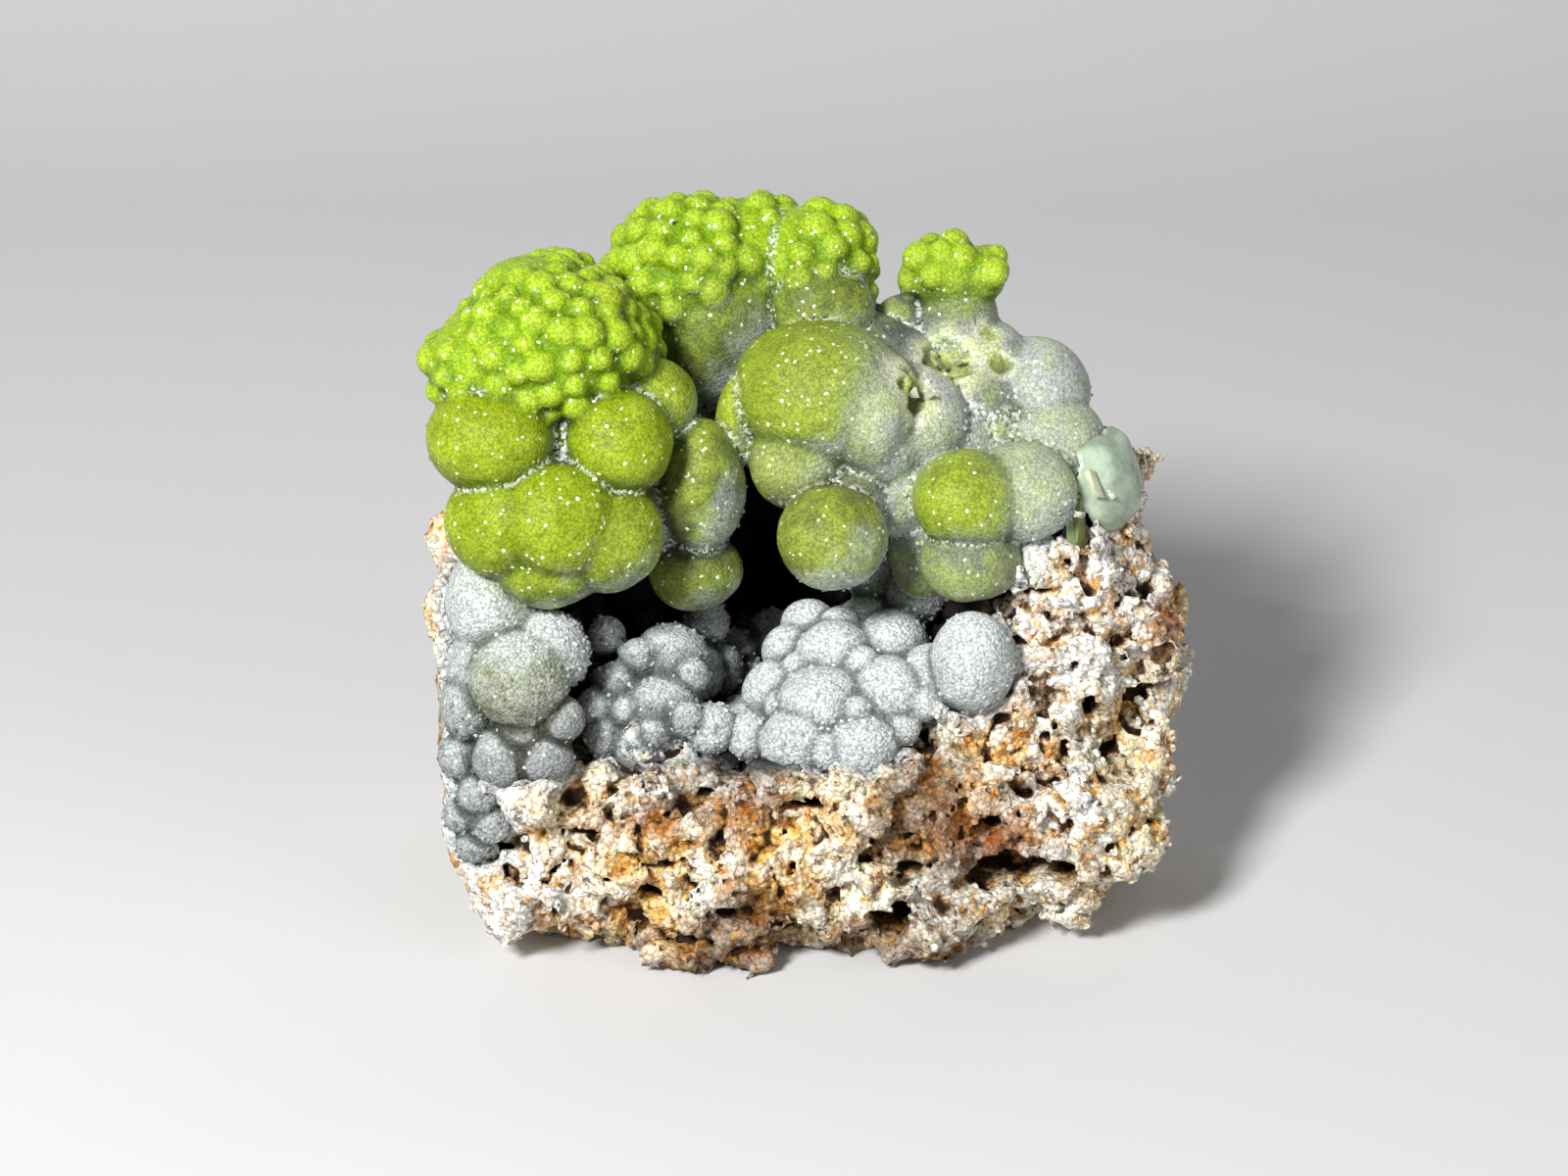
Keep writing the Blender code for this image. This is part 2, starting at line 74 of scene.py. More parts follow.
CLUSTERS = {
    "left_cluster": [
        (-19.3, -4.0, 45.3, 7.0, 7.0, 6.0, "lime", 1), (-23.4, -5.5, 44.4, 4.7, 4.8, 4.6, "lime", 1),
        (-20.8, -3.0, 48.2, 4.3, 4.3, 3.7, "lime", 1), (-16.0, -2.0, 44.8, 4.6, 5.0, 4.4, "lime", 1),
        (-19.0, 2.5, 44.0, 6.5, 5.5, 5.8, "lime", 1), (-14.9, -5.8, 49.8, 1.2, 1.2, 1.2, "yellow", 0),
        (-23.4, -9.5, 40.3, 4.8, 4.6, 4.1, "yellow", 0), (-14.0, -9.0, 39.8, 4.1, 4.1, 4.0, "yellow", 0),
        (-11.6, -4.0, 41.0, 3.3, 3.6, 3.4, "leaf", 0), (-22.0, -11.0, 34.3, 4.9, 4.5, 4.4, "yellow", 2),
        (-18.6, -12.0, 34.7, 4.9, 4.3, 4.6, "yellow", 2), (-15.2, -11.0, 33.2, 4.5, 4.3, 4.3, "leaf", 2),
        (-19.2, -11.2, 31.6, 4.6, 4.2, 3.9, "leaf", 2), (-18.6, -9.8, 33.6, 7.2, 4.8, 4.8, "yellow", 2),
        (-18.3, -6.0, 38.6, 3.2, 3.4, 3.4, "moss", 0),
        # The second lobe on the next line is darkened with painted shade under the left crown.
        (-8.1, -5.0, 34.7, 3.4, 3.9, 5.3, "moss", 0), (-8.6, -5.0, 27.8, 3.6, 3.4, 3.2, "olive_in_painted_shade", 0),
        (-18.5, -2.5, 37.5, 7.8, 8.0, 8.0, "leaf", 0), (-12.5, -1.5, 33.0, 5.0, 6.0, 5.5, "slate", 0),
        (-12.4, 5.0, 36.6, 4.6, 4.8, 4.6, "slate", 0),
    ],
    "back_cluster": [
        (-9.1, 8.0, 46.3, 6.3, 6.1, 6.2, "lime", 3), (-4.6, 9.5, 47.0, 5.0, 5.2, 5.1, "lime", 3),
        (0.2, 8.5, 46.9, 4.9, 5.1, 5.0, "lime", 0), (1.0, 5.0, 45.0, 4.0, 3.8, 3.8, "moss", 0),
        (-7.4, 6.0, 43.2, 5.6, 5.0, 6.2, "moss", 3), (-3.0, 10.0, 41.0, 9.0, 7.0, 7.5, "slate", 3),
    ],
    "middle_cluster": [
        (0.9, -2.0, 40.9, 6.7, 6.2, 5.5, "leaf", 4), (-0.7, -4.4, 36.8, 3.8, 3.6, 4.2, "haze", 4),
        (-5.3, -3.0, 39.0, 1.7, 2.2, 3.6, "leaf", 0), (4.4, -2.2, 37.6, 5.0, 4.4, 4.4, "haze", 4),
        (7.4, -0.4, 37.8, 5.0, 4.8, 4.5, "frost", 4), (10.8, 1.2, 35.8, 4.2, 4.2, 4.0, "frost", 4),
        (1.8, -9.0, 32.1, 4.2, 4.2, 3.9, "olive", 0), (2.6, -4.6, 33.4, 3.4, 4.0, 3.4, "slate", 0),
        (7.0, -3.0, 33.4, 3.0, 3.2, 3.4, "frost", 4), (8.6, -2.4, 28.6, 2.5, 3.0, 4.8, "slate", 0),
        (4.0, 5.0, 38.5, 7.0, 6.5, 6.0, "slate", 4), (4.2, -2.4, 40.0, 4.0, 5.6, 4.9, "violet", 4),
        (5.6, -2.6, 41.6, 2.6, 3.4, 2.6, "frost", 4),
    ],
    "right_cluster": [
        (11.9, -6.0, 34.0, 4.3, 4.2, 3.6, "leaf", 5), (16.0, -4.2, 33.8, 4.4, 4.4, 3.7, "violet", 5),
        (12.1, -7.0, 29.3, 3.9, 3.8, 2.9, "ash", 0), (14.2, 1.0, 36.9, 2.1, 2.2, 2.0, "haze", 0),
        (12.6, 3.5, 37.4, 4.4, 4.4, 4.2, "slate", 6), (17.4, 5.2, 38.1, 4.4, 5.0, 4.3, "frost", 6),
        (13.3, 6.4, 39.6, 4.2, 4.4, 4.0, "frost", 6), (18.6, 1.6, 35.0, 4.4, 4.6, 4.2, "violet", 6),
        (11.4, 8.0, 42.6, 3.4, 3.4, 4.8, "ash", 6), (10.6, 8.0, 46.8, 2.8, 2.8, 2.6, "lime", 6),
        (13.2, 8.0, 46.8, 2.1, 2.3, 2.2, "lime", 6), (7.2, 7.6, 43.0, 2.0, 2.2, 2.2, "slate", 0),
    ],
    "frosted_left": [
        (-21.5, -14.0, 22.8, 3.7, 3.7, 3.7, "cream", 0), (-19.4, -12.0, 24.2, 3.1, 3.2, 3.1, "frost", 7),
        (-23.6, -9.5, 27.2, 3.6, 4.2, 4.6, "snow", 7), (-24.0, -11.0, 22.0, 3.2, 3.4, 4.4, "frost", 7),
        # The four low balls on the next two lines are darkened with painted shadow from the lobes above.
        (-18.4, -14.6, 19.8, 1.9, 2.1, 1.8, "frost_in_painted_shadow", 0), (-21.2, -14.4, 19.0, 2.3, 2.4, 2.1, "frost_in_painted_shadow", 0),
        (-22.8, -15.2, 16.9, 2.4, 2.4, 2.1, "frost_in_painted_shadow", 0), (-19.7, -15.4, 17.1, 2.3, 2.3, 2.0, "frost_in_painted_shadow", 0),
        (-25.6, -12.6, 19.8, 2.0, 2.4, 2.6, "slate", 0), (-26.0, -13.2, 16.0, 1.8, 2.2, 2.0, "slate", 0),
        (-24.7, -15.0, 13.8, 1.8, 1.9, 1.7, "slate", 0), (-26.0, -14.6, 12.0, 1.5, 1.8, 1.5, "slate", 0),
        (-23.8, -15.8, 11.6, 1.5, 1.6, 1.5, "slate", 0), (-25.2, -15.2, 9.8, 1.4, 1.6, 1.4, "slate", 0),
        (-22.0, -10.5, 18.0, 4.0, 4.0, 5.5, "ash", 0),
    ],
}
FUSE_STEP = 0.24
KNOB_SPACING = 1.8
KNOB_RADII = (0.85, 1.50)
KNOB_SINK = 0.24
SOFTENING_ROUNDS = 2
SKIN_SWELL = ((3.1, 0.20), (0.95, 0.04))

# A dent is where a lobe broke open: its middle, its reach and its depth.
DENTS = [
    (7.4, -3.6, 41.6, 1.9, 0.5), (10.5, 2.8, 41.2, 2.1, 0.5),
    (14.5, 2.8, 41.4, 1.0, 0.2), (13.9, 4.6, 43.4, 0.9, 0.2),
]
DENT_RAGGEDNESS = 1.3
BROKEN_TINT = (0.42, 0.45, 0.18)
BROKEN_HALO = (0.66, 0.67, 0.54)
FROSTED_LIT_TOP = (0.72, 0.76, 0.77)
TINT_REACH = 0.55
UNDERSIDE_SHADE = 0.6
CREASE_WIDTH = 0.5
FINE_ROUNDS = 12
BROAD_ROUNDS = 60


def node_tree(name, inputs):
    """A geometry tree with a geometry going in and out, and named inputs."""
    tree = bpy.data.node_groups.new(name, "GeometryNodeTree")
    tree.interface.new_socket("Geometry", in_out="INPUT", socket_type="NodeSocketGeometry")
    for label, kind, value in inputs:
        socket = tree.interface.new_socket(label, in_out="INPUT", socket_type="NodeSocket" + kind)
        if value is not None:
            socket.default_value = value
    tree.interface.new_socket("Geometry", in_out="OUTPUT", socket_type="NodeSocketGeometry")
    return tree, tree.nodes.new("NodeGroupInput"), tree.nodes.new("NodeGroupOutput")


def added(tree, kind, links=(), **settings):
    """A node with its settings made and its inputs linked or set, as (input, socket or value) pairs."""
    node = tree.nodes.new(kind)
    for label, value in settings.items():
        setattr(node, label, value)
    for label, value in links:
        if isinstance(value, bpy.types.NodeSocket):
            tree.links.new(value, node.inputs[label])
        else:
            node.inputs[label].default_value = value
    return node


def named_value(tree, name, kind="FLOAT"):
    """A stored value in a geometry tree."""
    node = added(tree, "GeometryNodeInputNamedAttribute", [("Name", name)], data_type=kind)
    return node.outputs["Attribute"]


def spread_points(tree, given, mesh, mask, densest):
    """Points over a mesh, never closer than the input Spacing, thinned out by a stored mask."""
    return added(tree, "GeometryNodeDistributePointsOnFaces", [
        ("Mesh", mesh), ("Distance Min", given.outputs["Spacing"]), ("Density Max", densest),
        ("Density Factor", named_value(tree, mask)), ("Seed", given.outputs["Seed"])],
                 distribute_method="POISSON")


def set_on(tree, points, shape, scale, turned=None):
    """Copies of a shape on points, made real."""
    links = [("Points", points), ("Instance", shape), ("Scale", scale)]
    if turned is not None:
        links.append(("Rotation", turned))
    copies = added(tree, "GeometryNodeInstanceOnPoints", links)
    return added(tree, "GeometryNodeRealizeInstances", [("Geometry", copies.outputs["Instances"])]).outputs[0]


def finished(tree, given, made, geometry):
    """Puts the input Material on a geometry and ends the tree with it."""
    finish = added(tree, "GeometryNodeSetMaterial", [
        ("Geometry", geometry), ("Material", given.outputs["Material"])])
    tree.links.new(finish.outputs["Geometry"], made.inputs["Geometry"])


def grape_tree():
    """Points with radii become egg-shaped lobes, and round knobs are spread over the ones marked knobby."""
    tree, given, made = node_tree("grape_lobes", [
        ("Spacing", "Float", KNOB_SPACING * MM), ("Smallest knob", "Float", KNOB_RADII[0] * MM),
        ("Largest knob", "Float", KNOB_RADII[1] * MM), ("Knob sink", "Float", KNOB_SINK),
        ("Seed", "Int", 3), ("Material", "Material", None)])
    ball = added(tree, "GeometryNodeMeshIcoSphere", [("Radius", 1.0), ("Subdivisions", 5)])
    radii = named_value(tree, "radii", "FLOAT_VECTOR")
    solid = set_on(tree, given.outputs["Geometry"], ball.outputs["Mesh"], radii)
    spread = spread_points(tree, given, solid, "knobby", 2.0e6)
    radius = added(tree, "FunctionNodeRandomValue", [
        (2, given.outputs["Smallest knob"]), (3, given.outputs["Largest knob"]), (8, 5)]).outputs[1]
    sink = added(tree, "ShaderNodeMath", [(0, radius), (1, given.outputs["Knob sink"])], operation="MULTIPLY")
    inward = added(tree, "ShaderNodeMath", [(0, sink.outputs[0]), (1, -1.0)], operation="MULTIPLY")
    offset = added(tree, "ShaderNodeVectorMath", [
        (0, spread.outputs["Normal"]), ("Scale", inward.outputs[0])], operation="SCALE")
    sunk = added(tree, "GeometryNodeSetPosition", [
        ("Geometry", spread.outputs["Points"]), ("Offset", offset.outputs[0])])
    bead = added(tree, "GeometryNodeMeshIcoSphere", [("Radius", 1.0), ("Subdivisions", 3)])
    knobs = set_on(tree, sunk.outputs["Geometry"], bead.outputs["Mesh"], radius)
    both = tree.nodes.new("GeometryNodeJoinGeometry")
    tree.links.new(solid, both.inputs["Geometry"])
    tree.links.new(knobs, both.inputs["Geometry"])
    finished(tree, given, made, both.outputs["Geometry"])
    return tree


def with_tree(piece, tree, **values):
    """Adds a tree as a modifier and sets its named inputs by their identifiers."""
    modifier = piece.modifiers.new(tree.name, "NODES")
    modifier.node_group = tree
    for socket in tree.interface.items_tree:
        label = socket.name.replace(" ", "_")
        if socket.item_type == "SOCKET" and socket.in_out == "INPUT" and label in values:
            modifier[socket.identifier] = values[label]


def linked(name, data):
    """A new object with a mesh, at the origin."""
    piece = bpy.data.objects.new(name, data)
    bpy.context.scene.collection.objects.link(piece)
    return piece


def settled(piece, name):
    """The plain mesh that a piece's modifiers make, as a new piece; the old one is removed."""
    graph = bpy.context.evaluated_depsgraph_get()
    data = bpy.data.meshes.new_from_object(piece.evaluated_get(graph))
    bpy.data.objects.remove(piece)
    data.name = name
    return linked(name, data)


def points_of(piece):
    """A piece's vertices in mm and their normals."""
    count = len(piece.data.vertices)
    places = np.empty(count * 3, np.float32)
    normals = np.empty(count * 3, np.float32)
    piece.data.vertices.foreach_get("co", places)
    piece.data.vertex_normals.foreach_get("vector", normals)
    return places.reshape(-1, 3) / MM, normals.reshape(-1, 3)


def add_values(piece, name, values):
    """Stores one number for each vertex, for the materials and the trees to read."""
    layer = piece.data.attributes.new(name, "FLOAT", "POINT")
    layer.data.foreach_set("value", np.asarray(values, np.float32))


def add_colours(piece, name, colours):
    """Stores one colour for each vertex."""
    layer = piece.data.attributes.new(name, "FLOAT_COLOR", "POINT")
    filled = np.concatenate((colours, np.ones((len(colours), 1))), 1)
    layer.data.foreach_set("color", filled.astype(np.float32).ravel())


def smooth_step(low, high, value):
    """0 below low, 1 above high and a soft ramp between."""
    part = np.clip((value - low) / (high - low), 0, 1)
    return part * part * (3 - 2 * part)


def outside_lobe(lobe, x, y, z):
    """How far points lie outside an egg-shaped lobe, negative inside."""
    dx, dy, dz = (x - lobe[0]) / lobe[3], (y - lobe[1]) / lobe[4], (z - lobe[2]) / lobe[5]
    reach = np.sqrt(dx * dx + dy * dy + dz * dz) + 1e-5
    steep = np.sqrt((dx / lobe[3]) ** 2 + (dy / lobe[4]) ** 2 + (dz / lobe[5]) ** 2) + 1e-5
    return reach * (reach - 1) / steep


def smooth_noise(places, size, shift):
    """Smooth random values of about -1 to 1 at places in mm, changing over a length in mm."""
    return np.array([noise.noise(Vector(place) / size + Vector(shift)) for place in places], np.float32)


def grown(name, lobes, tree, material):
    """One cluster: its lobes and knobs fused in one skin, softened, and made a little uneven."""
    data = bpy.data.meshes.new(name + "_points")
    data.from_pydata([Vector(lobe[:3]) * MM for lobe in lobes], [], [])
    radii = data.attributes.new("radii", "FLOAT_VECTOR", "POINT")
    radii.data.foreach_set("vector", np.array([lobe[3:6] for lobe in lobes], np.float32).ravel() * MM)
    seeds = linked(name + "_points", data)
    add_values(seeds, "knobby", [lobe[6] == "lime" for lobe in lobes])
    with_tree(seeds, tree, Material=material)
    fuse = seeds.modifiers.new("fuse", "REMESH")
    fuse.mode = "VOXEL"
    fuse.voxel_size = FUSE_STEP * MM
    soften = seeds.modifiers.new("soften", "SMOOTH")
    soften.factor = 0.5
    soften.iterations = SOFTENING_ROUNDS
    piece = settled(seeds, name)
    places, normals = points_of(piece)
    for size, height in SKIN_SWELL:
        places += normals * (height * smooth_noise(places, size, (0, 0, 0)))[:, None]
    for x, y, z, reach, depth in DENTS:
        away = np.linalg.norm(places - (x, y, z), axis=1)
        away = away + DENT_RAGGEDNESS * smooth_noise(places, 1.1, (3, 3, 3))
        places -= normals * (depth * (1 - smooth_step(0.6 * reach, reach, away)))[:, None]
    piece.data.vertices.foreach_set("co", (places * MM).ravel())
    piece.data.update()
    piece.data.shade_smooth()
    piece.data.materials.clear()
    piece.data.materials.append(material)
    return piece


def groove_depth(piece, rounds):
    """How deep each vertex lies below its surroundings in mm, by smoothing the mesh a number of rounds."""
    places, normals = points_of(piece)
    count = len(places)
    ends = np.empty(len(piece.data.edges) * 2, np.int32)
    piece.data.edges.foreach_get("vertices", ends)
    starts, stops = ends.reshape(-1, 2).T
    both = np.concatenate((starts, stops))
    others = np.concatenate((stops, starts))
    degree = np.bincount(both, minlength=count)[:, None]
    smooth = places.astype(np.float64)
    for _ in range(rounds):
        total = np.stack([np.bincount(both, smooth[others, axis], count) for axis in range(3)], 1)
        smooth = total / degree
    return ((smooth - places) * normals).sum(axis=1)


def paint(piece, lobes, dark_creases):
    """Stores a skin's colour, with painted shade on its undersides and painted light on the tops of frosted
    skins, its frost, its creases, its grooves, and how thick crystals stand on it.

    Groove is a dip beside its close surroundings, and gully beside its wider ones; on frosted skins gully
    also carries painted shade deeper in the hollow.
    """
    places, normals = points_of(piece)
    families = {}
    total = np.zeros((len(places), 4), np.float32)
    weight = np.zeros(len(places), np.float32)
    for number, lobe in enumerate(lobes):
        away = outside_lobe(lobe, *places.T)
        family = lobe[7] or -number - 1
        families[family] = np.minimum(families.get(family, np.float32(1e3)), away)
        share = np.exp(-np.clip(away + 1.0, 0, 20) / TINT_REACH)
        total += share[:, None] * np.array(TINTS[lobe[6]], np.float32)
        weight += share
    total /= weight[:, None]
    second = np.partition(np.stack(list(families.values())), 1, axis=0)[1]
    shaded_side = normals @ np.array((0.52, 0.05, -0.85), np.float32)
    patches = smooth_noise(places, 4.0, (7, 3, 1))
    least_frost = 0.5 if dark_creases else 0.0
    frost = total[:, 3] * np.maximum(least_frost, smooth_step(-0.55, 0.75, shaded_side + 0.45 * patches))
    crease = 1 - smooth_step(0.0, CREASE_WIDTH, second)
    whole = np.ones(len(places), np.float32)
    sound = np.ones(len(places), np.float32)
    for x, y, z, reach, _ in DENTS:
        away = np.linalg.norm(places - (x, y, z), axis=1)
        whole = np.minimum(whole, smooth_step(0.7 * reach, 1.1 * reach, away))
        sound = np.minimum(sound, smooth_step(1.0 * reach, 2.0 * reach, away))
    underside = 1 - UNDERSIDE_SHADE * smooth_step(-0.15, 0.85, -normals[:, 2])
    colour = total[:, :3] * underside[:, None]
    if dark_creases:
        # Up-facing frosted skin is whitened: partly frost, partly painted light from above.
        frosted_lit_top = 0.6 * smooth_step(0.45, 0.95, normals[:, 2])[:, None]
        colour += frosted_lit_top * (np.array(FROSTED_LIT_TOP) - colour)
    colour = colour * sound[:, None] + np.array(BROKEN_HALO) * (1 - sound)[:, None]
    colour = colour * whole[:, None] + np.array(BROKEN_TINT) * (1 - whole)[:, None]
    add_colours(piece, "body", colour)
    add_values(piece, "frost", frost * sound)
    add_values(piece, "crease", crease * whole)
    add_values(piece, "groove", groove_depth(piece, FINE_ROUNDS))
    # Painted shade: frosted skins deeper in the hollow and to its left count as extra gully, so they are
    # darkened.
    in_the_dark = smooth_step(-9.0, 0.0, places[:, 1]) * (1 - smooth_step(-4.0, 1.0, places[:, 0]))
    add_values(piece, "gully", groove_depth(piece, BROAD_ROUNDS) + 0.5 * dark_creases * in_the_dark)
    if dark_creases:
        thick = smooth_step(0.10, 0.55, frost) * (1 - 0.9 * crease)
    else:
        thick = 0.45 * smooth_step(0.35, 0.85, frost) + 0.6 * crease
    add_values(piece, "druse", np.clip(thick, 0.010, 1) * whole)


def new_group(name, inputs, outputs):
    """A shader group with named number inputs, and outputs that are numbers or colours."""
    group = bpy.data.node_groups.new(name, "ShaderNodeTree")
    for label, value in inputs:
        socket = group.interface.new_socket(label, in_out="INPUT", socket_type="NodeSocketFloat")
        socket.default_value = value
    for label, kind in outputs:
        group.interface.new_socket(label, in_out="OUTPUT", socket_type=kind)
    return group, group.nodes.new("NodeGroupInput"), group.nodes.new("NodeGroupOutput")


def computed(tree, operation, first, second=0.0, third=0.0, clamp=False):
    """A Math node on sockets or numbers; returns its output."""
    return added(tree, "ShaderNodeMath", [(0, first), (1, second), (2, third)],
                 operation=operation, use_clamp=clamp).outputs[0]


def mixed(tree, amount, first, second, blend="MIX"):
    """A colour Mix node on sockets or colours; returns its output."""
    sides = [(*value, 1.0) if isinstance(value, tuple) else value for value in (first, second)]
    return added(tree, "ShaderNodeMix", [(0, amount), (6, sides[0]), (7, sides[1])],
                 data_type="RGBA", blend_type=blend).outputs[2]


def stored(tree, name, output="Fac"):
    """A vertex value in a material."""
    return added(tree, "ShaderNodeAttribute", attribute_name=name).outputs[output]


def clouded(tree, where, scale, detail=3.0, rough=0.6):
    """Noise from 0 to 1 at a scale per metre."""
    return added(tree, "ShaderNodeTexNoise", [
        ("Vector", where), ("Scale", scale), ("Detail", detail), ("Roughness", rough)]).outputs["Fac"]


def ramped(tree, value, low, high):
    """Spreads a value between two limits over 0 to 1, clamped and softened."""
    return added(tree, "ShaderNodeMapRange", [("Value", value), ("From Min", low), ("From Max", high)],
                 interpolation_type="SMOOTHSTEP").outputs["Result"]


def grey_from(tree, value):
    """A grey colour from one number."""
    return added(tree, "ShaderNodeCombineColor", [(0, value), (1, value), (2, value)]).outputs[0]


def bumped(tree, height, distance, strength=1.0, under=None):
    """A bump of a height in metres; returns its normal."""
    links = [("Height", height), ("Distance", distance), ("Strength", strength)]
    if under is not None:
        links.append(("Normal", under))
    return added(tree, "ShaderNodeBump", links).outputs["Normal"]


def crystal_grain_group():
    """Sugary crystal grain: its height, dark gaps, a random shade for each grain, and rare bright faces used
    as painted glints.
    """
    group, given, made = new_group("crystal_grain", [("Grains per metre", 3000.0), ("Bright share", 0.05)], [
        ("Height", "NodeSocketFloat"), ("Gap", "NodeSocketFloat"),
        ("Shade", "NodeSocketFloat"), ("Bright", "NodeSocketFloat")])
    where = group.nodes.new("ShaderNodeTexCoord")
    grains = added(group, "ShaderNodeTexVoronoi", [
        ("Vector", where.outputs["Object"]), ("Scale", given.outputs["Grains per metre"])])
    tags = added(group, "ShaderNodeSeparateColor", [("Color", grains.outputs["Color"])])
    height = computed(group, "SUBTRACT", 1.0, grains.outputs["Distance"])
    uneven = computed(group, "MULTIPLY_ADD", tags.outputs["Green"], 0.5, 0.5)
    group.links.new(computed(group, "MULTIPLY", height, uneven), made.inputs["Height"])
    group.links.new(ramped(group, grains.outputs["Distance"], 0.38, 0.70), made.inputs["Gap"])
    group.links.new(tags.outputs["Red"], made.inputs["Shade"])
    limit = computed(group, "SUBTRACT", 1.0, given.outputs["Bright share"])
    group.links.new(computed(group, "GREATER_THAN", tags.outputs["Blue"], limit), made.inputs["Bright"])
    return group


crystal_grain = crystal_grain_group()


def new_material(name, roughness, specular=0.5):
    """A material with a Principled shader, ready for its colour and bump."""
    material = bpy.data.materials.new(name)
    material.use_nodes = True
    shader = material.node_tree.nodes["Principled BSDF"]
    shader.inputs["Roughness"].default_value = roughness
    shader.inputs["Specular IOR Level"].default_value = specular
    return material, material.node_tree, shader


def grained(tree, **values):
    """The crystal grain group in a material, with its own values."""
    node = added(tree, "ShaderNodeGroup", node_tree=crystal_grain)
    for label, value in values.items():
        node.inputs[label.replace("_", " ")].default_value = value
    return node


SKIN_GRAINS_PER_METRE = 4400.0
SKIN_SPECULAR = 0.16
SKIN_GLINT_SHARE = 0.018
FROST_SKIN = (0.44, 0.49, 0.50)
PAINTED_GLINT = (0.86, 0.90, 0.70)
LIME_TOP_LIGHT = (0.52, 0.66, 0.05)
WHITE_TOP_LIGHT = (0.78, 0.82, 0.83)
GREEN_GROOVE_SHADE = (0.62, 0.70, 0.55)
GREY_GROOVE_SHADE = (0.56, 0.56, 0.55)
GULLY_SHADE = (0.30, 0.32, 0.30)
PALE_CREASE = (0.76, 0.79, 0.74)
PAINTED_CREASE_SHADE = (0.07, 0.07, 0.068)


def crystal_skin(name, roughness, depth, bump, top_light_colour, groove_shade, edge_colour):
    """Tiny crystals over a coloured body, frosted towards the creases and the shaded sides, with painted
    light on the ridges, painted shade in the grooves and gullies, crease dots that are painted shade on
    frosted skins, and painted glints.

    Depth is how much the grains differ in shade.
    """
    material, tree, shader = new_material(name, roughness, SKIN_SPECULAR)
    where = tree.nodes.new("ShaderNodeTexCoord").outputs["Object"]
    frost = stored(tree, "frost")
    grain = grained(tree, Grains_per_metre=SKIN_GRAINS_PER_METRE, Bright_share=SKIN_GLINT_SHARE)
    mottle = clouded(tree, where, 700.0, 4.0, 0.6)
    colour = mixed(tree, ramped(tree, mottle, 0.35, 0.75), (0.88, 0.90, 0.9), (1.06, 1.05, 1.0))
    colour = mixed(tree, 1.0, stored(tree, "body", "Color"), colour, "MULTIPLY")
    dusted = computed(tree, "ADD", frost, computed(tree, "MULTIPLY_ADD", mottle, 0.8, -0.4))
    colour = mixed(tree, ramped(tree, dusted, 0.10, 0.85), colour, FROST_SKIN)
    groove = stored(tree, "groove")
    # Painted light: ridges that stand above their surroundings are lightened towards a brighter top colour.
    painted_top_light = computed(tree, "MULTIPLY", ramped(tree, groove, -0.02, -0.10), 0.30)
    colour = mixed(tree, painted_top_light, colour, top_light_colour)
    # Painted shade: grooves between knobs and lobes are darkened, and broad gullies more so.
    shade_painted = mixed(tree, 1.0, colour, groove_shade, "MULTIPLY")
    colour = mixed(tree, ramped(tree, groove, 0.0, 0.10), colour, shade_painted)
    shade_painted = mixed(tree, 1.0, colour, GULLY_SHADE, "MULTIPLY")
    colour = mixed(tree, ramped(tree, stored(tree, "gully"), 0.15, 0.65), colour, shade_painted)
    shade = computed(tree, "MULTIPLY_ADD", grain.outputs["Shade"], depth, 1.06 - 0.5 * depth)
    shade = computed(tree, "MULTIPLY_ADD", grain.outputs["Gap"], -depth, shade)
    colour = mixed(tree, 1.0, colour, grey_from(tree, shade), "MULTIPLY")
    # Crease dots: on the green skin they are pale, its own colour; on the frosted skin they are dark, painted
    # shade in the creases.
    dots = ramped(tree, grain.outputs["Shade"], 0.30, 0.70)
    edge = computed(tree, "MULTIPLY", stored(tree, "crease"), dots)
    colour = mixed(tree, computed(tree, "MULTIPLY", edge, 0.75), colour, edge_colour)
    # Painted glints: rare grains turn bright as if catching the light.
    colour = mixed(tree, computed(tree, "MULTIPLY", grain.outputs["Bright"], 0.7), colour, PAINTED_GLINT)
    tree.links.new(colour, shader.inputs["Base Color"])
    soft = bumped(tree, clouded(tree, where, 900.0, 3.0, 0.5), 0.0002, 0.2)
    tree.links.new(bumped(tree, grain.outputs["Height"], 0.0002, bump, soft), shader.inputs["Normal"])
    return material


green_skin = crystal_skin("green_crystal_skin", 0.42, 0.32, 0.40, LIME_TOP_LIGHT, GREEN_GROOVE_SHADE, PALE_CREASE)
frosted_skin = crystal_skin("frosted_crystal_skin", 0.7, 0.40, 0.7, WHITE_TOP_LIGHT, GREY_GROOVE_SHADE, PAINTED_CREASE_SHADE)
skins = {"frosted_left": frosted_skin}
grapes = grape_tree()
growth = {name: grown(name, lobes, grapes, skins.get(name, green_skin)) for name, lobes in CLUSTERS.items()}
